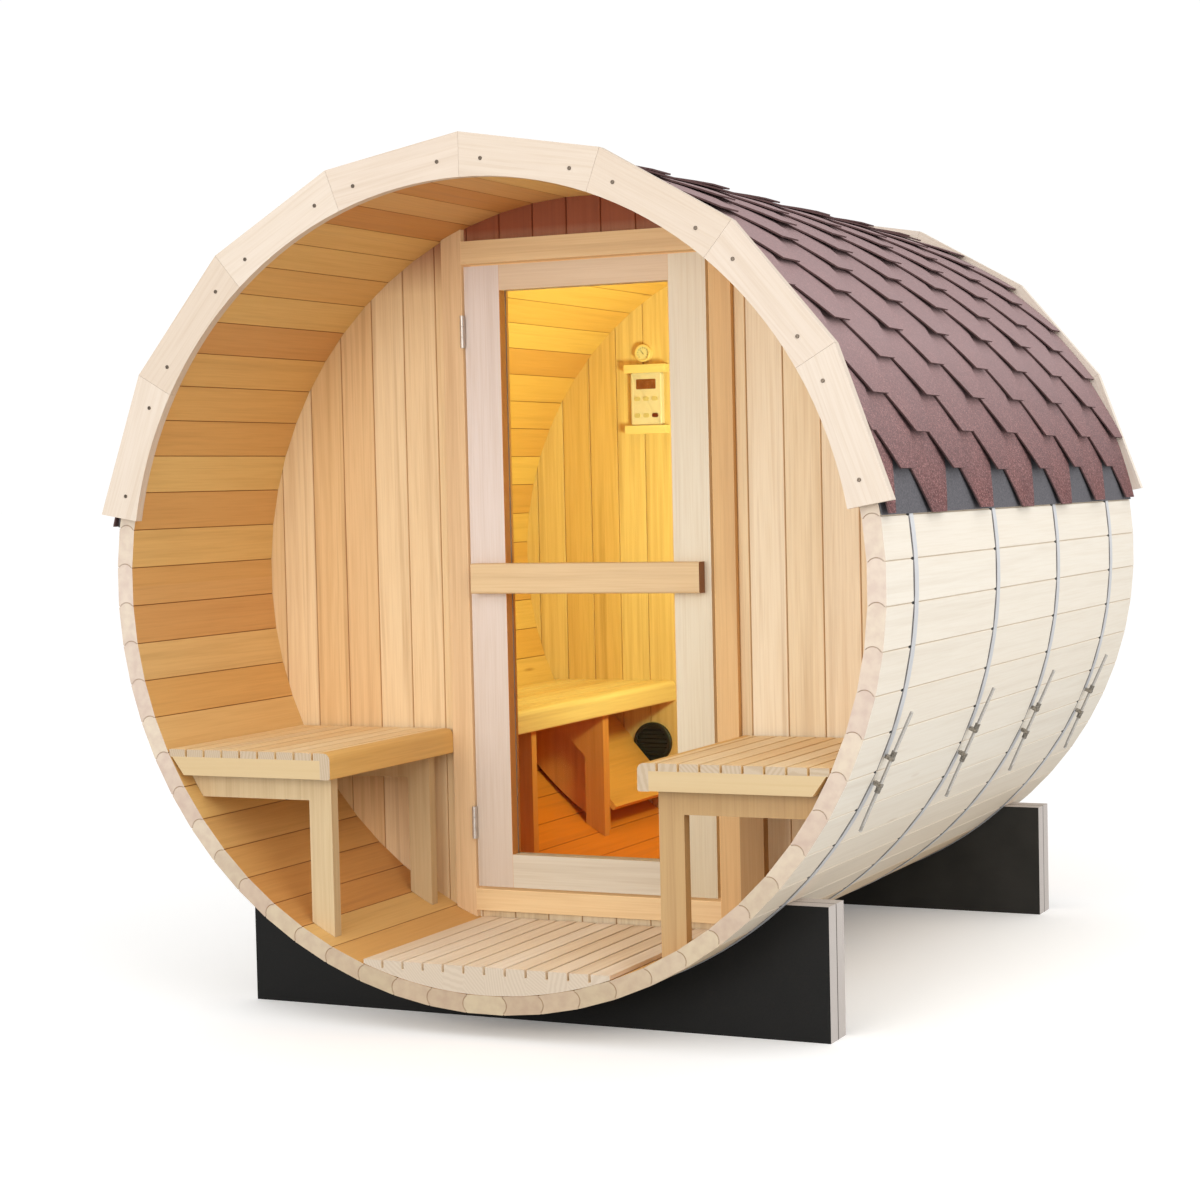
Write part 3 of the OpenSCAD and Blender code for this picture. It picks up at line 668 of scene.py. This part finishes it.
wood_finish("handle_wood", HANDLE, step_across(2, 0.9), 0, "door_handle", contrast=0.12,
            ends=end_rings(0, colour(150, 104, 66), colour(122, 80, 48)))
wood_finish("floor_wood", FLOOR, step_across(0, FLOOR_STEP, -6 * FLOOR_STEP), 1, "porch_floor",
            ends=end_rings(1, pale_end, deep_end))
wood_finish("seat_wood", SLAT, step_across(0, SLAT_STEP, 0.3596, both_sides=True), 1, "left_bench_seat",
            "right_bench_seat", ends=seat_ends, inside=nose_shade)
wood_finish("cabin_wood", SLAT, step_across(0, SLAT_STEP, 0.3939, both_sides=True), 1, "cabin_bench_seat")
for hand, tones in zip(LEFT_RIGHT, (LEFT_LEG, RIGHT_LEG)):
    wood_finish(hand + "_leg_wood", tones, step_across(1, 0.2), 2, hand + "_bench_frame")
wood_finish("cabin_leg_wood", CABIN_LEG, step_across(1, 0.2), 2, "cabin_bench_frame", "cabin_bench_panel")
wood_finish("ledge_wood", SLAT, step_across(2, 0.1), 0, "panel_ledges")
wood_finish("board_wood", ((238, 182, 108), (234, 174, 100)), step_across(2, 0.9), 1,
            "cabin_bench_backboard")
print("wood finishes:", len([m for m in bpy.data.materials if m.name.endswith("_wood")]))

# %% [markdown]
# ### Fascia boards
# Each arch is made of eight straight boards, and their grain runs along each board. The angle round the
# axis tells which board a point is on, and the point is turned by that board's middle angle before the
# grain is drawn.

# %% Fascia finish
FASCIA_TURN = math.radians(20)


def fascia_number(x, y, z):
    """Counts the eight boards of an arch by their angle."""
    past_end = sums("SUBTRACT", angle_round(x, z), math.radians(10))
    return sums("FLOOR", sums("DIVIDE", past_end, FASCIA_TURN))


def fascia_grain(own, parts):
    """Turns a point so that X runs along its board."""
    board = fascia_number(*parts)
    middle = sums("MULTIPLY_ADD", board, FASCIA_TURN, FASCIA_TURN - math.radians(90))
    return add_node("VectorRotate", {"Vector": own, "Angle": middle}, rotation_type="Y_AXIS").outputs[0]


# The rear arch takes paler tones than the front one: painted light on its face that shows above the roof.
for end, tones in (("front", ((220, 204, 188), (224, 210, 195), (215, 198, 180))),
                   ("rear", ((240, 229, 214), (243, 233, 220), (237, 225, 208)))):
    wood_finish(end + "_fascia_wood", tones, fascia_number, fascia_grain, end + "_fascia", contrast=0.08)
print("fascia finishes: front and rear")

# %% [markdown]
# ## Film-faced board of the cradles
# The cradles are two sheets of building board glued together: a near-black film with a faint woven print
# on the faces, and bare plies on the edges. The normal decides: a face that looks along Y is film.

# %% Cradle finish
def cradle_finish():
    """Film on the faces, darker in front, and bare plies with a glue line on the edges."""
    material, shader, point = new_finish("cradle_ply")
    parts = split(point)
    cloud = noise(point, 9.0, 5.0)
    weave = noise(point, 420.0, 2.0)
    black = ramp(cloud, [(0.3, colour(6, 6, 5)), (0.7, colour(11, 10, 9))])
    behind = sums("GREATER_THAN", parts[1], 0.0)
    # The rear cradle's film is grey, the front one's near-black.
    mottled = ramp(cloud, [(0.3, colour(44, 43, 40)), (0.7, colour(54, 52, 49))])
    black = blend(behind, black, mottled)
    shader.inputs["Specular IOR Level"].default_value = 0.3
    ply = add_node("TexWave", {"Vector": point, "Scale": 105.0, "Distortion": 0.6, "Detail": 2.0},
                   wave_type="BANDS", bands_direction="Y").outputs["Fac"]
    edge = ramp(ply, [(0.2, colour(172, 163, 158)), (0.8, colour(216, 209, 204))])
    glued = sums("ADD", near(parts[1], -0.778, 0.002), near(parts[1], 0.832, 0.002))
    edge = blend(glued, edge, colour(74, 64, 58))
    tint = blend(faces_along(parts, 1, 0.7), edge, black)
    surface(shader, tint, fade(weave, 0.0, 1.0, 0.50, 0.72), weave, 0.2, 0.0006)
    dress(material, "front_cradle", "rear_cradle")
    return material


print("finish of the cradles:", cradle_finish().name)

# %% [markdown]
# ## Steel, glass, felt and plastic
# Bands and hinges are stainless steel with a fine brushed grain. The pane is clear glass. The roof
# underlay is bitumen felt with sand on it, and the small fittings are moulded plastic.

# %% Steel, glass, felt and plastic
def plain_finish(name, low, high, grain, rough, *pieces, metal=0.0, strength=0.25, distance=0.0004):
    """A finish for some solids that wanders between two colours over a noise of the given scale."""
    material, shader, point = new_finish(name)
    cloud = noise(stretch(point, grain), 1.0, 5.0)
    tint = ramp(cloud, [(0.3, colour(*low)), (0.7, colour(*high))])
    sheen = fade(cloud, 0.0, 1.0, rough - 0.08, rough + 0.1)
    surface(shader, tint, sheen, cloud, strength, distance)
    shader.inputs["Metallic"].default_value = metal
    dress(material, *pieces)
    return material


FINE = 0.0001          # depth of the bump on metal
plain_finish("band_steel", (214, 215, 219), (230, 231, 234), (40, 900, 40), 0.45, "steel_bands",
             metal=0.45, distance=FINE)
rod_steel = plain_finish("rod_steel", (168, 164, 159), (200, 197, 192), (500, 500, 500), 0.42,
                         "band_tensioners", metal=0.8, distance=FINE)
lug_steel = plain_finish("lug_steel", (118, 110, 100), (182, 176, 166), (260, 260, 260), 0.42,
                         metal=0.8, distance=FINE)
plain_finish("hinge_steel", (196, 190, 183), (214, 208, 201), (300, 300, 60), 0.42, "frame_hinges",
             "door_hinges", metal=0.7, distance=FINE)
screw_steel = plain_finish("screw_steel", (92, 82, 72), (128, 116, 104), (700, 700, 700), 0.42,
                           metal=1.0, distance=FINE)
plain_finish("roof_felt", (76, 75, 80), (110, 108, 114), (260, 260, 260), 0.88, "roof_underlay",
             strength=0.5, distance=0.001)
panel_plastic = plain_finish("panel_plastic", (226, 215, 218), (232, 222, 225), (90, 90, 90), 0.45,
                             "control_panel")
vent_plastic = plain_finish("vent_plastic", (17, 17, 18), (26, 26, 27), (140, 140, 140), 0.5, "air_vent")
glass, shader, point = new_finish("clear_glass")
clear = [(0.3, (0.97, 0.985, 0.97, 1)), (0.7, (0.985, 0.99, 0.98, 1))]
wire(shader, Base_Color=ramp(noise(point, 6.0, 2.0), clear))
for socket, value in (("Transmission Weight", 1.0), ("Roughness", 0.0), ("IOR", 1.1)):
    shader.inputs[socket].default_value = value
dress(glass, "door_glass")
print("finishes so far:", len(bpy.data.materials))

# %% [markdown]
# The camera sees a white floor, with a little light of its own, under a white world, so no edge shows
# between them. Everything else meets a dimmer floor and world, or the barrel would be lit from below.

# %% White floor and world
WHITE = (1.0, 1.0, 1.0, 1)


def for_camera(tree, shown, hidden):
    """Shows one shader to the camera, and the other to everything else."""
    seen = add_node("LightPath", tree=tree).outputs["Is Camera Ray"]
    both = add_node("MixShader", {0: seen, 1: hidden.outputs[0], 2: shown.outputs[0]}).outputs[0]
    output = next(n for n in tree.nodes if n.type.startswith("OUTPUT"))
    tree.links.new(both, output.inputs["Surface"])


OFF_WHITE = (253.31118,) * 3  # 0.985 to a shader
floor_white = plain_finish("floor_white", OFF_WHITE, (255, 255, 255), (0.7, 0.7, 0.7), 0.85)
tree = floor_white.node_tree
white = tree.nodes["Principled BSDF"]
white.inputs["Emission Color"].default_value = WHITE
white.inputs["Emission Strength"].default_value = 0.13
for_camera(tree, white, add_node("BsdfDiffuse", {"Color": (0.55, 0.55, 0.54, 1)}, tree))
floor.data.materials.append(floor_white)
world = bpy.context.scene.world or bpy.data.worlds.new("studio")
bpy.context.scene.world = world
world.use_nodes = True
sky = world.node_tree
fill = sky.nodes["Background"]
fill.inputs["Color"].default_value = WHITE
fill.inputs["Strength"].default_value = 0.90
for_camera(sky, add_node("Background", {"Color": WHITE, "Strength": 1.02}, sky), fill)
print("floor:", floor.name, "and world:", world.name)

# %% [markdown]
# ## Wall boards
# The end walls are upright tongue-and-groove boards, 86.5 mm wide, with a small vee at each joint. One
# board is a box with its four upright edges bevelled. Its ends run into the round groove in the staves, so
# they are trimmed by bisecting the board with planes that touch that circle every few degrees.

# %% Board builder
NARROWEST, JOINT, VEE = 0.004, 0.0006, 0.0020  # least width of a board, the gap between two, and their bevel
WALL_FOOT, WALL_TOP = 0.05, 1.85      # past the round edge, so that the trim decides


def round_end(x0, x1, sign):
    """Trims one end of the open board to the round of the wall."""
    turn = [math.acos(max(-1, min(1, x / WALL_R))) for x in (x1, x0)]
    steps = max(2, math.ceil(math.degrees(turn[1] - turn[0]) / 3))
    for i in range(steps + 1):
        a = turn[0] + (turn[1] - turn[0]) * i / steps
        out = Vector((math.cos(a), 0, sign * math.sin(a)))
        saw(out * WALL_R + Vector((0, 0, AXIS)), out, use_fill=True, clear_outer=True)


def wall_boards(name, x_from, x_to, z_from, z_to, y_from, y_to, finish, replaced):
    """Boards over one piece of wall, joined into one piece that stands for the solids."""
    made = []
    first = math.floor(x_from / BOARD + 0.5)
    last = math.ceil(x_to / BOARD + 0.5)
    for k in range(first, last):
        x0, x1 = max(x_from, (k - 0.5) * BOARD), min(x_to, (k + 0.5) * BOARD)
        if x1 - x0 < NARROWEST:
            continue
        board = box_from("board", (x0 + JOINT / 2, y_from, z_from), (x1 - JOINT / 2, y_to, z_to))
        edit(board)
        pick_edges(board, lambda a, b: abs(a.z - b.z) > 0.01)
        bpy.ops.mesh.bevel(offset=VEE, segments=1, affect="EDGES")
        if z_to > AXIS:
            round_end(x0, x1, 1)
        if z_from < AXIS:
            round_end(x0, x1, -1)
        let_go()
        made.append(board)
    join(name, made, "sauna", finish, replaced)


# %% Front and rear wall
for part, side, x_from, x_to, finish in (
        ("front_wall_left", "beside", -WALL_R, -POST_OUT, deep_wall_wood),
        ("front_wall_right", "beside", POST_OUT, WALL_R, wall_wood),
        ("front_wall_over_door", "over", -POST_IN, POST_IN, wall_wood),
        ("front_wall_under_door", "under", -POST_IN, POST_IN, wall_wood)):
    low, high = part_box(part)
    wall_boards(part + "_boards", x_from, x_to, low.z if side == "over" else WALL_FOOT,
                high.z if side == "under" else WALL_TOP, low.y, high.y, finish, [part])
low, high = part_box("rear_wall")
wall_boards("rear_wall_boards", -WALL_R, WALL_R, WALL_FOOT, WALL_TOP, low.y, high.y, rear_wall_wood,
            ["rear_wall"])

# %% [markdown]
# ## Shingles
# The roof is covered with bitumen shingles cut into blunt teeth, a third of a metre apart. Each course
# laps the one below and is shifted by half a tooth. One tooth is modelled flat: a strip, cut at two
# places, whose middle edge is extruded downwards four times and narrowed each time. Copies of it make a
# course, and every course is rolled onto the roof point by point, because the sheet has to rise by one
# thickness at each lap.

# %% One tooth
TOOTH, TIP, ROOT, CUT, LENGTH, THICK = 0.3335, 0.098, 0.290, 0.135, 0.225, 0.0036
let_go()
bpy.ops.mesh.primitive_plane_add(size=1, location=((CUT + LENGTH) / 2, 0, 0))
tooth = bpy.context.object
tooth.name = "shingle_tooth"
tooth.scale = (LENGTH - CUT, TOOTH, 1)
keep_place(tooth)
edit(tooth)
for y in (-ROOT / 2, ROOT / 2):
    saw((0, y, 0), (0, 1, 0))
bpy.ops.mesh.select_all(action="DESELECT")
pick_edges(tooth, lambda a, b: a.x < CUT + 1e-4 and b.x < CUT + 1e-4 and abs(a.y + b.y) < 1e-3)
width = ROOT
for i in range(4):
    draw_out((-CUT / 4, 0, 0))
    thinner = ROOT + (TIP - ROOT) * (i + 1) / 4
    bpy.ops.transform.resize(value=(1, thinner / width, 1), center_override=(0, 0, 0))
    width = thinner
let_go()
print("tooth faces:", len(tooth.data.polygons))

# %% Courses rolled onto the roof
EAVE = math.radians(8.55)
STEP = 0.0830          # height of a course that shows
COURSES = 15
ROLL_R = 0.91          # radius at which a rolled sheet keeps its length


def roll(piece, angle, mirror, lifts, phase, bed):
    """Rolls a flat course onto the roof: x runs up the slope from the teeth's tips, y along the barrel."""
    for v in piece.data.vertices:
        s, y = v.co.x, v.co.y
        step = (y - phase) / TOOTH
        which = math.floor(step + 0.5)
        lift = lifts[which % len(lifts)] * (1 - 0.9 * (step - which))
        rise = bed * max(0.0, 0.0090 - 0.0043 * s / STEP) + lift * max(0.0, 1 - s / 0.110) ** 1.4
        reach = ROOF_R + 0.0004 + rise + v.co.z
        a = angle + s / ROLL_R
        v.co = (mirror * reach * math.cos(a), y, AXIS + reach * math.sin(a))


def thicken(sheet):
    """Gives a flat sheet its thickness. Its rim takes the second finish."""
    choose(sheet)
    body = sheet.modifiers.new("thick", "SOLIDIFY")
    body.thickness = THICK
    body.offset = 1
    body.material_offset_rim = 1
    bpy.ops.object.modifier_apply(modifier="thick")


def lay_course(index, mirror):
    """One course of teeth, trimmed to the roof's length and rolled to its place."""
    phase = FRONT + 0.335 - (TOOTH / 2 if index % 2 else 0.0) + chance.uniform(-0.012, 0.012)
    angle = EAVE + index * STEP / ROLL_R
    places = []
    for i in range(-2, 8):
        strip = 0.008 * (i // 3) + chance.uniform(-0.002, 0.002)
        places.append((chance.uniform(-0.004, 0.004), phase + i * TOOTH + strip, 0))
    course = merge(copies(tooth, places))
    edit(course)
    for y, out in ((FRONT + 0.001, -1), (REAR - 0.001, 1)):
        saw((0, y, 0), (0, out, 0), clear_outer=True)
    saw(((math.pi / 2 - angle) * ROLL_R, 0, 0), (1, 0, 0), clear_outer=True)
    thicken(course)
    for face in course.data.polygons:
        if face.normal.z < -0.5:
            face.material_index = 1
    flatter = 1 - 0.65 * index / COURSES
    lifts = [flatter * chance.uniform(0.0045, 0.0100) for _ in range(9)]
    roll(course, angle, mirror, lifts, phase, 1.0 if index else 0.3)
    return course


def shingle_finish():
    """Mineral granules pressed into bitumen: fine speckle, a slow change of tone, and painted light that
    makes it paler towards the ridge.
    """
    material, shader, point = new_finish("shingle")
    grit = add_node("TexVoronoi", {"Vector": point, "Scale": 400.0}).outputs["Color"]
    speck = add_node("SeparateColor", {0: grit}).outputs[0]
    granule = ramp(speck, [(0.0, colour(70, 40, 42)), (0.35, colour(106, 64, 64)),
                           (0.75, colour(134, 88, 87)), (1.0, colour(174, 130, 128))])
    shade = [(0.3, (0.82, 0.82, 0.84, 1)), (0.7, (1.05, 1.02, 1.0, 1))]
    mottled = blend(1.0, granule, ramp(noise(point, 7.0, 4.0), shade), "MULTIPLY")
    # Painted light: the shingles turn paler towards the ridge.
    ridge_light = fade(split(point)[2], 1.12, 1.45, 0.0, 0.60)
    tint = blend(ridge_light, mottled, colour(182, 156, 157))
    surface(shader, tint, fade(speck, 0.0, 1.0, 0.78, 0.95), speck, 0.45, 0.0012)
    dress(material, "shingles_left", "shingles_right", "ridge_cap")
    return material


# %% Lay the courses
shingle = shingle_finish()
bitumen = plain_finish("bitumen_edge", (82, 58, 58), (106, 78, 77), (300, 300, 300), 0.8)
for finish in (shingle, bitumen):
    tooth.data.materials.append(finish)
for word, mirror in (("right", 1), ("left", -1)):
    courses = [lay_course(i, mirror) for i in range(COURSES)]
    roof = join("roof_shingles_" + word, courses, "sauna", None, ["shingles_" + word])
    if mirror < 0:
        edit(roof, "FACE")
        bpy.ops.mesh.select_all(action="SELECT")
        bpy.ops.mesh.normals_make_consistent(inside=False)
        let_go()

# %% [markdown]
# ### Ridge
# Along the ridge, single pieces of shingle are bent over the top and lapped from the back to the front.
# One piece is a grid, eight panels across, thickened and rolled over the ridge.

# %% Ridge pieces
CAP_WIDE, CAP_LONG, CAP_STEP, CAP_FIRST, CAP_R = 0.25, 0.345, 0.2875, 0.165, 0.915
made = []
for i in range(7):
    let_go()
    bpy.ops.mesh.primitive_grid_add(x_subdivisions=8, y_subdivisions=2, size=1)
    cap = bpy.context.object
    cap.scale = (CAP_WIDE, CAP_LONG, 1)
    cap.location = (0, FRONT + CAP_FIRST + i * CAP_STEP, 0)
    keep_place(cap)
    for finish in (shingle, bitumen):
        cap.data.materials.append(finish)
    thicken(cap)
    front_edge = FRONT + CAP_FIRST + i * CAP_STEP - CAP_LONG / 2
    for v in cap.data.vertices:
        lap = (v.co.y - front_edge) / CAP_STEP
        reach = ROOF_R + 0.0128 - 0.0034 * min(lap, 1.15) + v.co.z
        a = math.pi / 2 - v.co.x / CAP_R
        v.co = (reach * math.cos(a), min(v.co.y, REAR - 0.001), AXIS + reach * math.sin(a))
    made.append(cap)
join("ridge_shingles", made, "sauna", None, ["ridge_cap"])
let_go()
bpy.data.objects.remove(tooth)

# %% [markdown]
# ## Screws
# Two screws hold each fascia board. One head is a short cylinder with a rounded rim and a sunk drive:
# the top face is inset and pushed in. It is modelled once and copied round both arches.

# %% Fascia screws
def screw_head(name, radius, height):
    """A screw head at the origin that looks along -Y."""
    let_go()
    bpy.ops.mesh.primitive_cylinder_add(vertices=12, radius=radius, depth=height)
    piece = bpy.context.object
    piece.name = name
    pick_faces(piece, lambda n: n.z > 0.9)
    bpy.ops.mesh.inset(thickness=radius * 0.22)
    bpy.ops.transform.translate(value=(0, 0, height * 0.35))
    bpy.ops.mesh.inset(thickness=radius * 0.36)
    draw_out((0, 0, -height * 0.7))
    let_go()
    piece.rotation_euler = (math.radians(90), 0, 0)
    return keep_place(piece)


SCREW_R = 0.879        # distance of the screws from the axis
head = screw_head("screw", 0.0042, 0.0016)
front_y, rear_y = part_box("front_fascia")[0].y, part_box("rear_fascia")[1].y
angles = [math.radians(20 + 20 * i + side) for i in range(8) for side in (-6.7, 6.7)]
spots = [Vector((SCREW_R * math.cos(a), 0, AXIS + SCREW_R * math.sin(a))) for a in angles]
screws = copies(head, [s + Vector((0, front_y - 0.0002, 0)) for s in spots])
half_turn = Matrix.Rotation(math.pi, 4, "Z")
screws += copies(head, [s + Vector((0, rear_y + 0.0002, 0)) for s in spots], half_turn)
join("fascia_screws", screws, "sauna", screw_steel)
bpy.data.objects.remove(head)

# %% [markdown]
# ## Band tensioners
# A threaded rod pulls the two ends of each band together through a pair of lugs. The rod could be a plain
# cylinder with a bump, but threads catch the light, so one turn of thread is modelled as a ring with a
# raised middle, and an Array modifier stacks it. Lugs get small bevels, and hexagon nuts a washer face
# inset at each end. The set is made upright at the origin, then turned to 25 degrees below the horizontal
# and copied to the four bands.

# %% One tensioner
ROD_R, ROD_OUT, PITCH, TURNS = 0.0040, 0.0132, 0.0027, 100
VALLEY = 0.84          # radius between two threads, as a part of the rod's
BAND_OUT = 0.9012      # outside of a band


def thread_rod():
    """A rod along Z, built from one ring of thread."""
    let_go()
    bpy.ops.mesh.primitive_cylinder_add(vertices=10, radius=ROD_R * VALLEY, depth=PITCH,
                                        end_fill_type="NOTHING")
    ring = bpy.context.object
    edit(ring)
    saw((0, 0, 0), (0, 0, 1))
    bpy.ops.mesh.select_all(action="DESELECT")
    pick_edges(ring, lambda a, b: abs(a.z) < 1e-5 and abs(b.z) < 1e-5)
    bpy.ops.transform.resize(value=(1 / VALLEY, 1 / VALLEY, 1), center_override=(0, 0, 0))
    choose(ring)
    stack = ring.modifiers.new("stack", "ARRAY")
    stack.count = TURNS
    stack.use_relative_offset = False
    stack.use_constant_offset = True
    stack.constant_offset_displace = (0, 0, PITCH)
    stack.use_merge_vertices = True
    bpy.ops.object.modifier_apply(modifier="stack")
    edit(ring)
    low, high = -PITCH / 2, PITCH * (TURNS - 0.5)
    for z in (low, high):
        bpy.ops.mesh.select_all(action="DESELECT")
        pick_edges(ring, lambda a, b: abs(a.z - z) < 1e-5 and abs(b.z - z) < 1e-5)
        bpy.ops.mesh.edge_face_add()
    bpy.ops.mesh.select_all(action="SELECT")
    bpy.ops.mesh.normals_make_consistent(inside=False)
    let_go()
    ring.location = (ROD_OUT, 0, -PITCH * (TURNS - 1) / 2)
    return keep_place(ring)


def lug(z):
    """A folded end of the band: a block with a narrower back and rounded edges."""
    piece = box_from("lug", (-0.0002, -0.0055, z - 0.0045), (0.0172, 0.0055, z + 0.0045))
    pick_faces(piece, lambda n: n.x > 0.9)
    draw_out((0.002, 0, 0))
    bpy.ops.transform.resize(value=(1, 0.8, 0.8), center_override=(0.0192, 0, z))
    bpy.ops.mesh.select_mode(type="EDGE")
    bpy.ops.mesh.select_all(action="SELECT")
    bpy.ops.mesh.bevel(offset=0.0012, segments=2, affect="EDGES")
    let_go()
    return piece


def nut(z):
    """A hexagon nut on the rod, with a washer face inset at both ends."""
    let_go()
    bpy.ops.mesh.primitive_cylinder_add(vertices=6, radius=0.0060, depth=0.0056, location=(ROD_OUT, 0, z))
    piece = keep_place(bpy.context.object)
    pick_faces(piece, lambda n: abs(n.z) > 0.9)
    bpy.ops.mesh.inset(thickness=0.0012)
    bpy.ops.transform.resize(value=(1, 1, 1.12), center_override=(ROD_OUT, 0, z))
    let_go()
    return piece


fittings = [give(thread_rod(), rod_steel)]
for direction in (-1, 1):
    ends = [lug(direction * 0.030), nut(direction * 0.0374), nut(direction * 0.0440)]
    fittings += [give(one, lug_steel) for one in ends]
master = merge(fittings)
lean = Matrix.Rotation(math.radians(25), 4, "Y")
master.data.transform(Matrix.Translation((0, 0, AXIS)) @ lean @ Matrix.Translation((BAND_OUT, 0, 0)))
sets = copies(master, [Vector((0, FRONT + y, 0)) for y in BANDS])
bpy.data.objects.remove(master)
join("band_tighteners", sets, "sauna", None, ["band_tensioners"])

# %% [markdown]
# ## Control panel, thermometer and air vent
# Three small fittings show through the door's glass. The panel is a plate with rounded corners, a sunk
# window and two rows of buttons. The thermometer is a turned wooden ring with a sunk dial and a pointer.
# The vent is a black disc with a raised rim and louvres. Each starts as a box or cylinder whose front
# face is inset and pushed in.

# %% Plates and discs
def rounded_plate(name, low, high, corner, segments=3):
    """A plate on the rear wall whose four corners are rounded."""
    piece = box_from(name, low, high)
    edit(piece)
    pick_edges(piece, lambda a, b: abs(a.y - b.y) > 1e-4)
    bpy.ops.mesh.bevel(offset=corner, segments=segments, affect="EDGES")
    let_go()
    return piece


def wall_disc(place, radius, depth, vertices):
    """A disc on the rear wall."""
    let_go()
    bpy.ops.mesh.primitive_cylinder_add(vertices=vertices, radius=radius, depth=depth, location=place,
                                        rotation=(math.radians(90), 0, 0))
    return keep_place(bpy.context.object)


def sink_front(piece, rim, raised, inner, depth):
    """Insets the front face and raises it, then insets it again and pushes it in."""
    pick_faces(piece, lambda n: n.y < -0.9)
    bpy.ops.mesh.inset(thickness=rim)
    bpy.ops.transform.translate(value=(0, -raised, 0))
    bpy.ops.mesh.inset(thickness=inner)
    draw_out((0, depth, 0))
    let_go()


# %% Control panel
display_glass = plain_finish("display_glass", (122, 66, 42), (146, 84, 54), (60, 60, 60), 0.25)
button_plastic = plain_finish("button_plastic", (206, 190, 158), (218, 203, 172), (200, 200, 200), 0.5)
red_plastic = plain_finish("red_plastic", (92, 28, 22), (112, 38, 30), (200, 200, 200), 0.4)
low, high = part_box("control_panel")
mid = (low.x + high.x) / 2
plate = rounded_plate("panel_plate", low, high, 0.006)
sink_front(plate, 0.003, 0.0015, 0.004, 0.001)
give(plate, panel_plastic)
face = low.y - 0.0006
back = low.y + 0.002
window = rounded_plate("window", (mid - 0.030, face - 0.0012, AXIS + 0.473),
                       (mid + 0.030, back, AXIS + 0.501), 0.002, 2)
give(window, display_glass)
parts = [plate, window]
for row, z in ((0, 0.4455), (1, 0.398)):
    for column in (-1, 0, 1):
        x = mid + column * 0.027
        key = rounded_plate("key", (x - 0.009, face - 0.0022, AXIS + z - 0.006),
                            (x + 0.009, back, AXIS + z + 0.006), 0.0045, 3)
        give(key, red_plastic if (row, column) == (1, 1) else button_plastic)
        parts.append(key)
join("control_panel_face", parts, "sauna", None, ["control_panel"])

# %% Thermometer
dial_paper = plain_finish("dial_paper", (232, 220, 196), (240, 230, 210), (80, 80, 80), 0.6)
ink = plain_finish("ink", (40, 30, 26), (58, 44, 36), (300, 300, 300), 0.6)
dial_wood = wood_finish("dial_wood", SLAT, step_across(2, 0.9), 0, "thermometer")
low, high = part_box("thermometer")
centre = (low + high) / 2
radius = (high.x - low.x) / 2
ring = wall_disc(centre, radius, high.y - low.y, 40)
sink_front(ring, 0.002, 0.002, 0.004, 0.004)
give(ring, dial_wood)
face = low.y + 0.002
paper = wall_disc((centre.x, face, centre.z), radius - 0.0062, 0.0008, 40)
pick_faces(paper, lambda n: n.y < -0.9)
bpy.ops.mesh.inset(thickness=0.0012)
bpy.ops.transform.translate(value=(0, 0.0002, 0))
let_go()
give(paper, dial_paper)
to_dial = Matrix.Translation((centre.x, 0, centre.z))
parts = [ring, paper]
for i in range(11):
    a = math.radians(225 - 27 * i)
    mark = box_from("mark", (-0.0005, face - 0.0011, radius - 0.0115),
                    (0.0005, face - 0.0002, radius - 0.0075))
    mark.data.transform(to_dial @ Matrix.Rotation(math.pi / 2 - a, 4, "Y"))
    parts.append(give(mark, ink))
hand = box_from("hand", (-0.0009, face - 0.0018, -0.004), (0.0009, face - 0.0008, radius - 0.010))
pick_faces(hand, lambda n: n.z > 0.9)
bpy.ops.transform.resize(value=(0.2, 1, 1), center_override=(0, face, radius))
let_go()
hand.data.transform(to_dial @ Matrix.Rotation(math.radians(-38), 4, "Y"))
parts.append(give(hand, ink))
join("thermometer_face", parts, "sauna", None, ["thermometer"])

# %% Air vent
low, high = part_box("air_vent")
centre = (low + high) / 2
radius = (high.x - low.x) / 2
disc = wall_disc(centre, radius, high.y - low.y, 48)
sink_front(disc, 0.003, 0.002, 0.008, 0.008)
parts = [disc]
for i in range(7):
    z = (i - 3) * 0.0125
    half = math.sqrt((radius - 0.009) ** 2 - z * z)
    fin = box_from("fin", (centre.x - half, low.y + 0.0005, centre.z + z - 0.0012),
                   (centre.x + half, high.y - 0.002, centre.z + z + 0.0012))
    pick_faces(fin, lambda n: n.y < -0.9)
    bpy.ops.transform.translate(value=(0, 0, -0.005))
    let_go()
    parts.append(fin)
join("air_vent_louvres", parts, "sauna", vent_plastic, ["air_vent"])

bpy.context.view_layer.update()
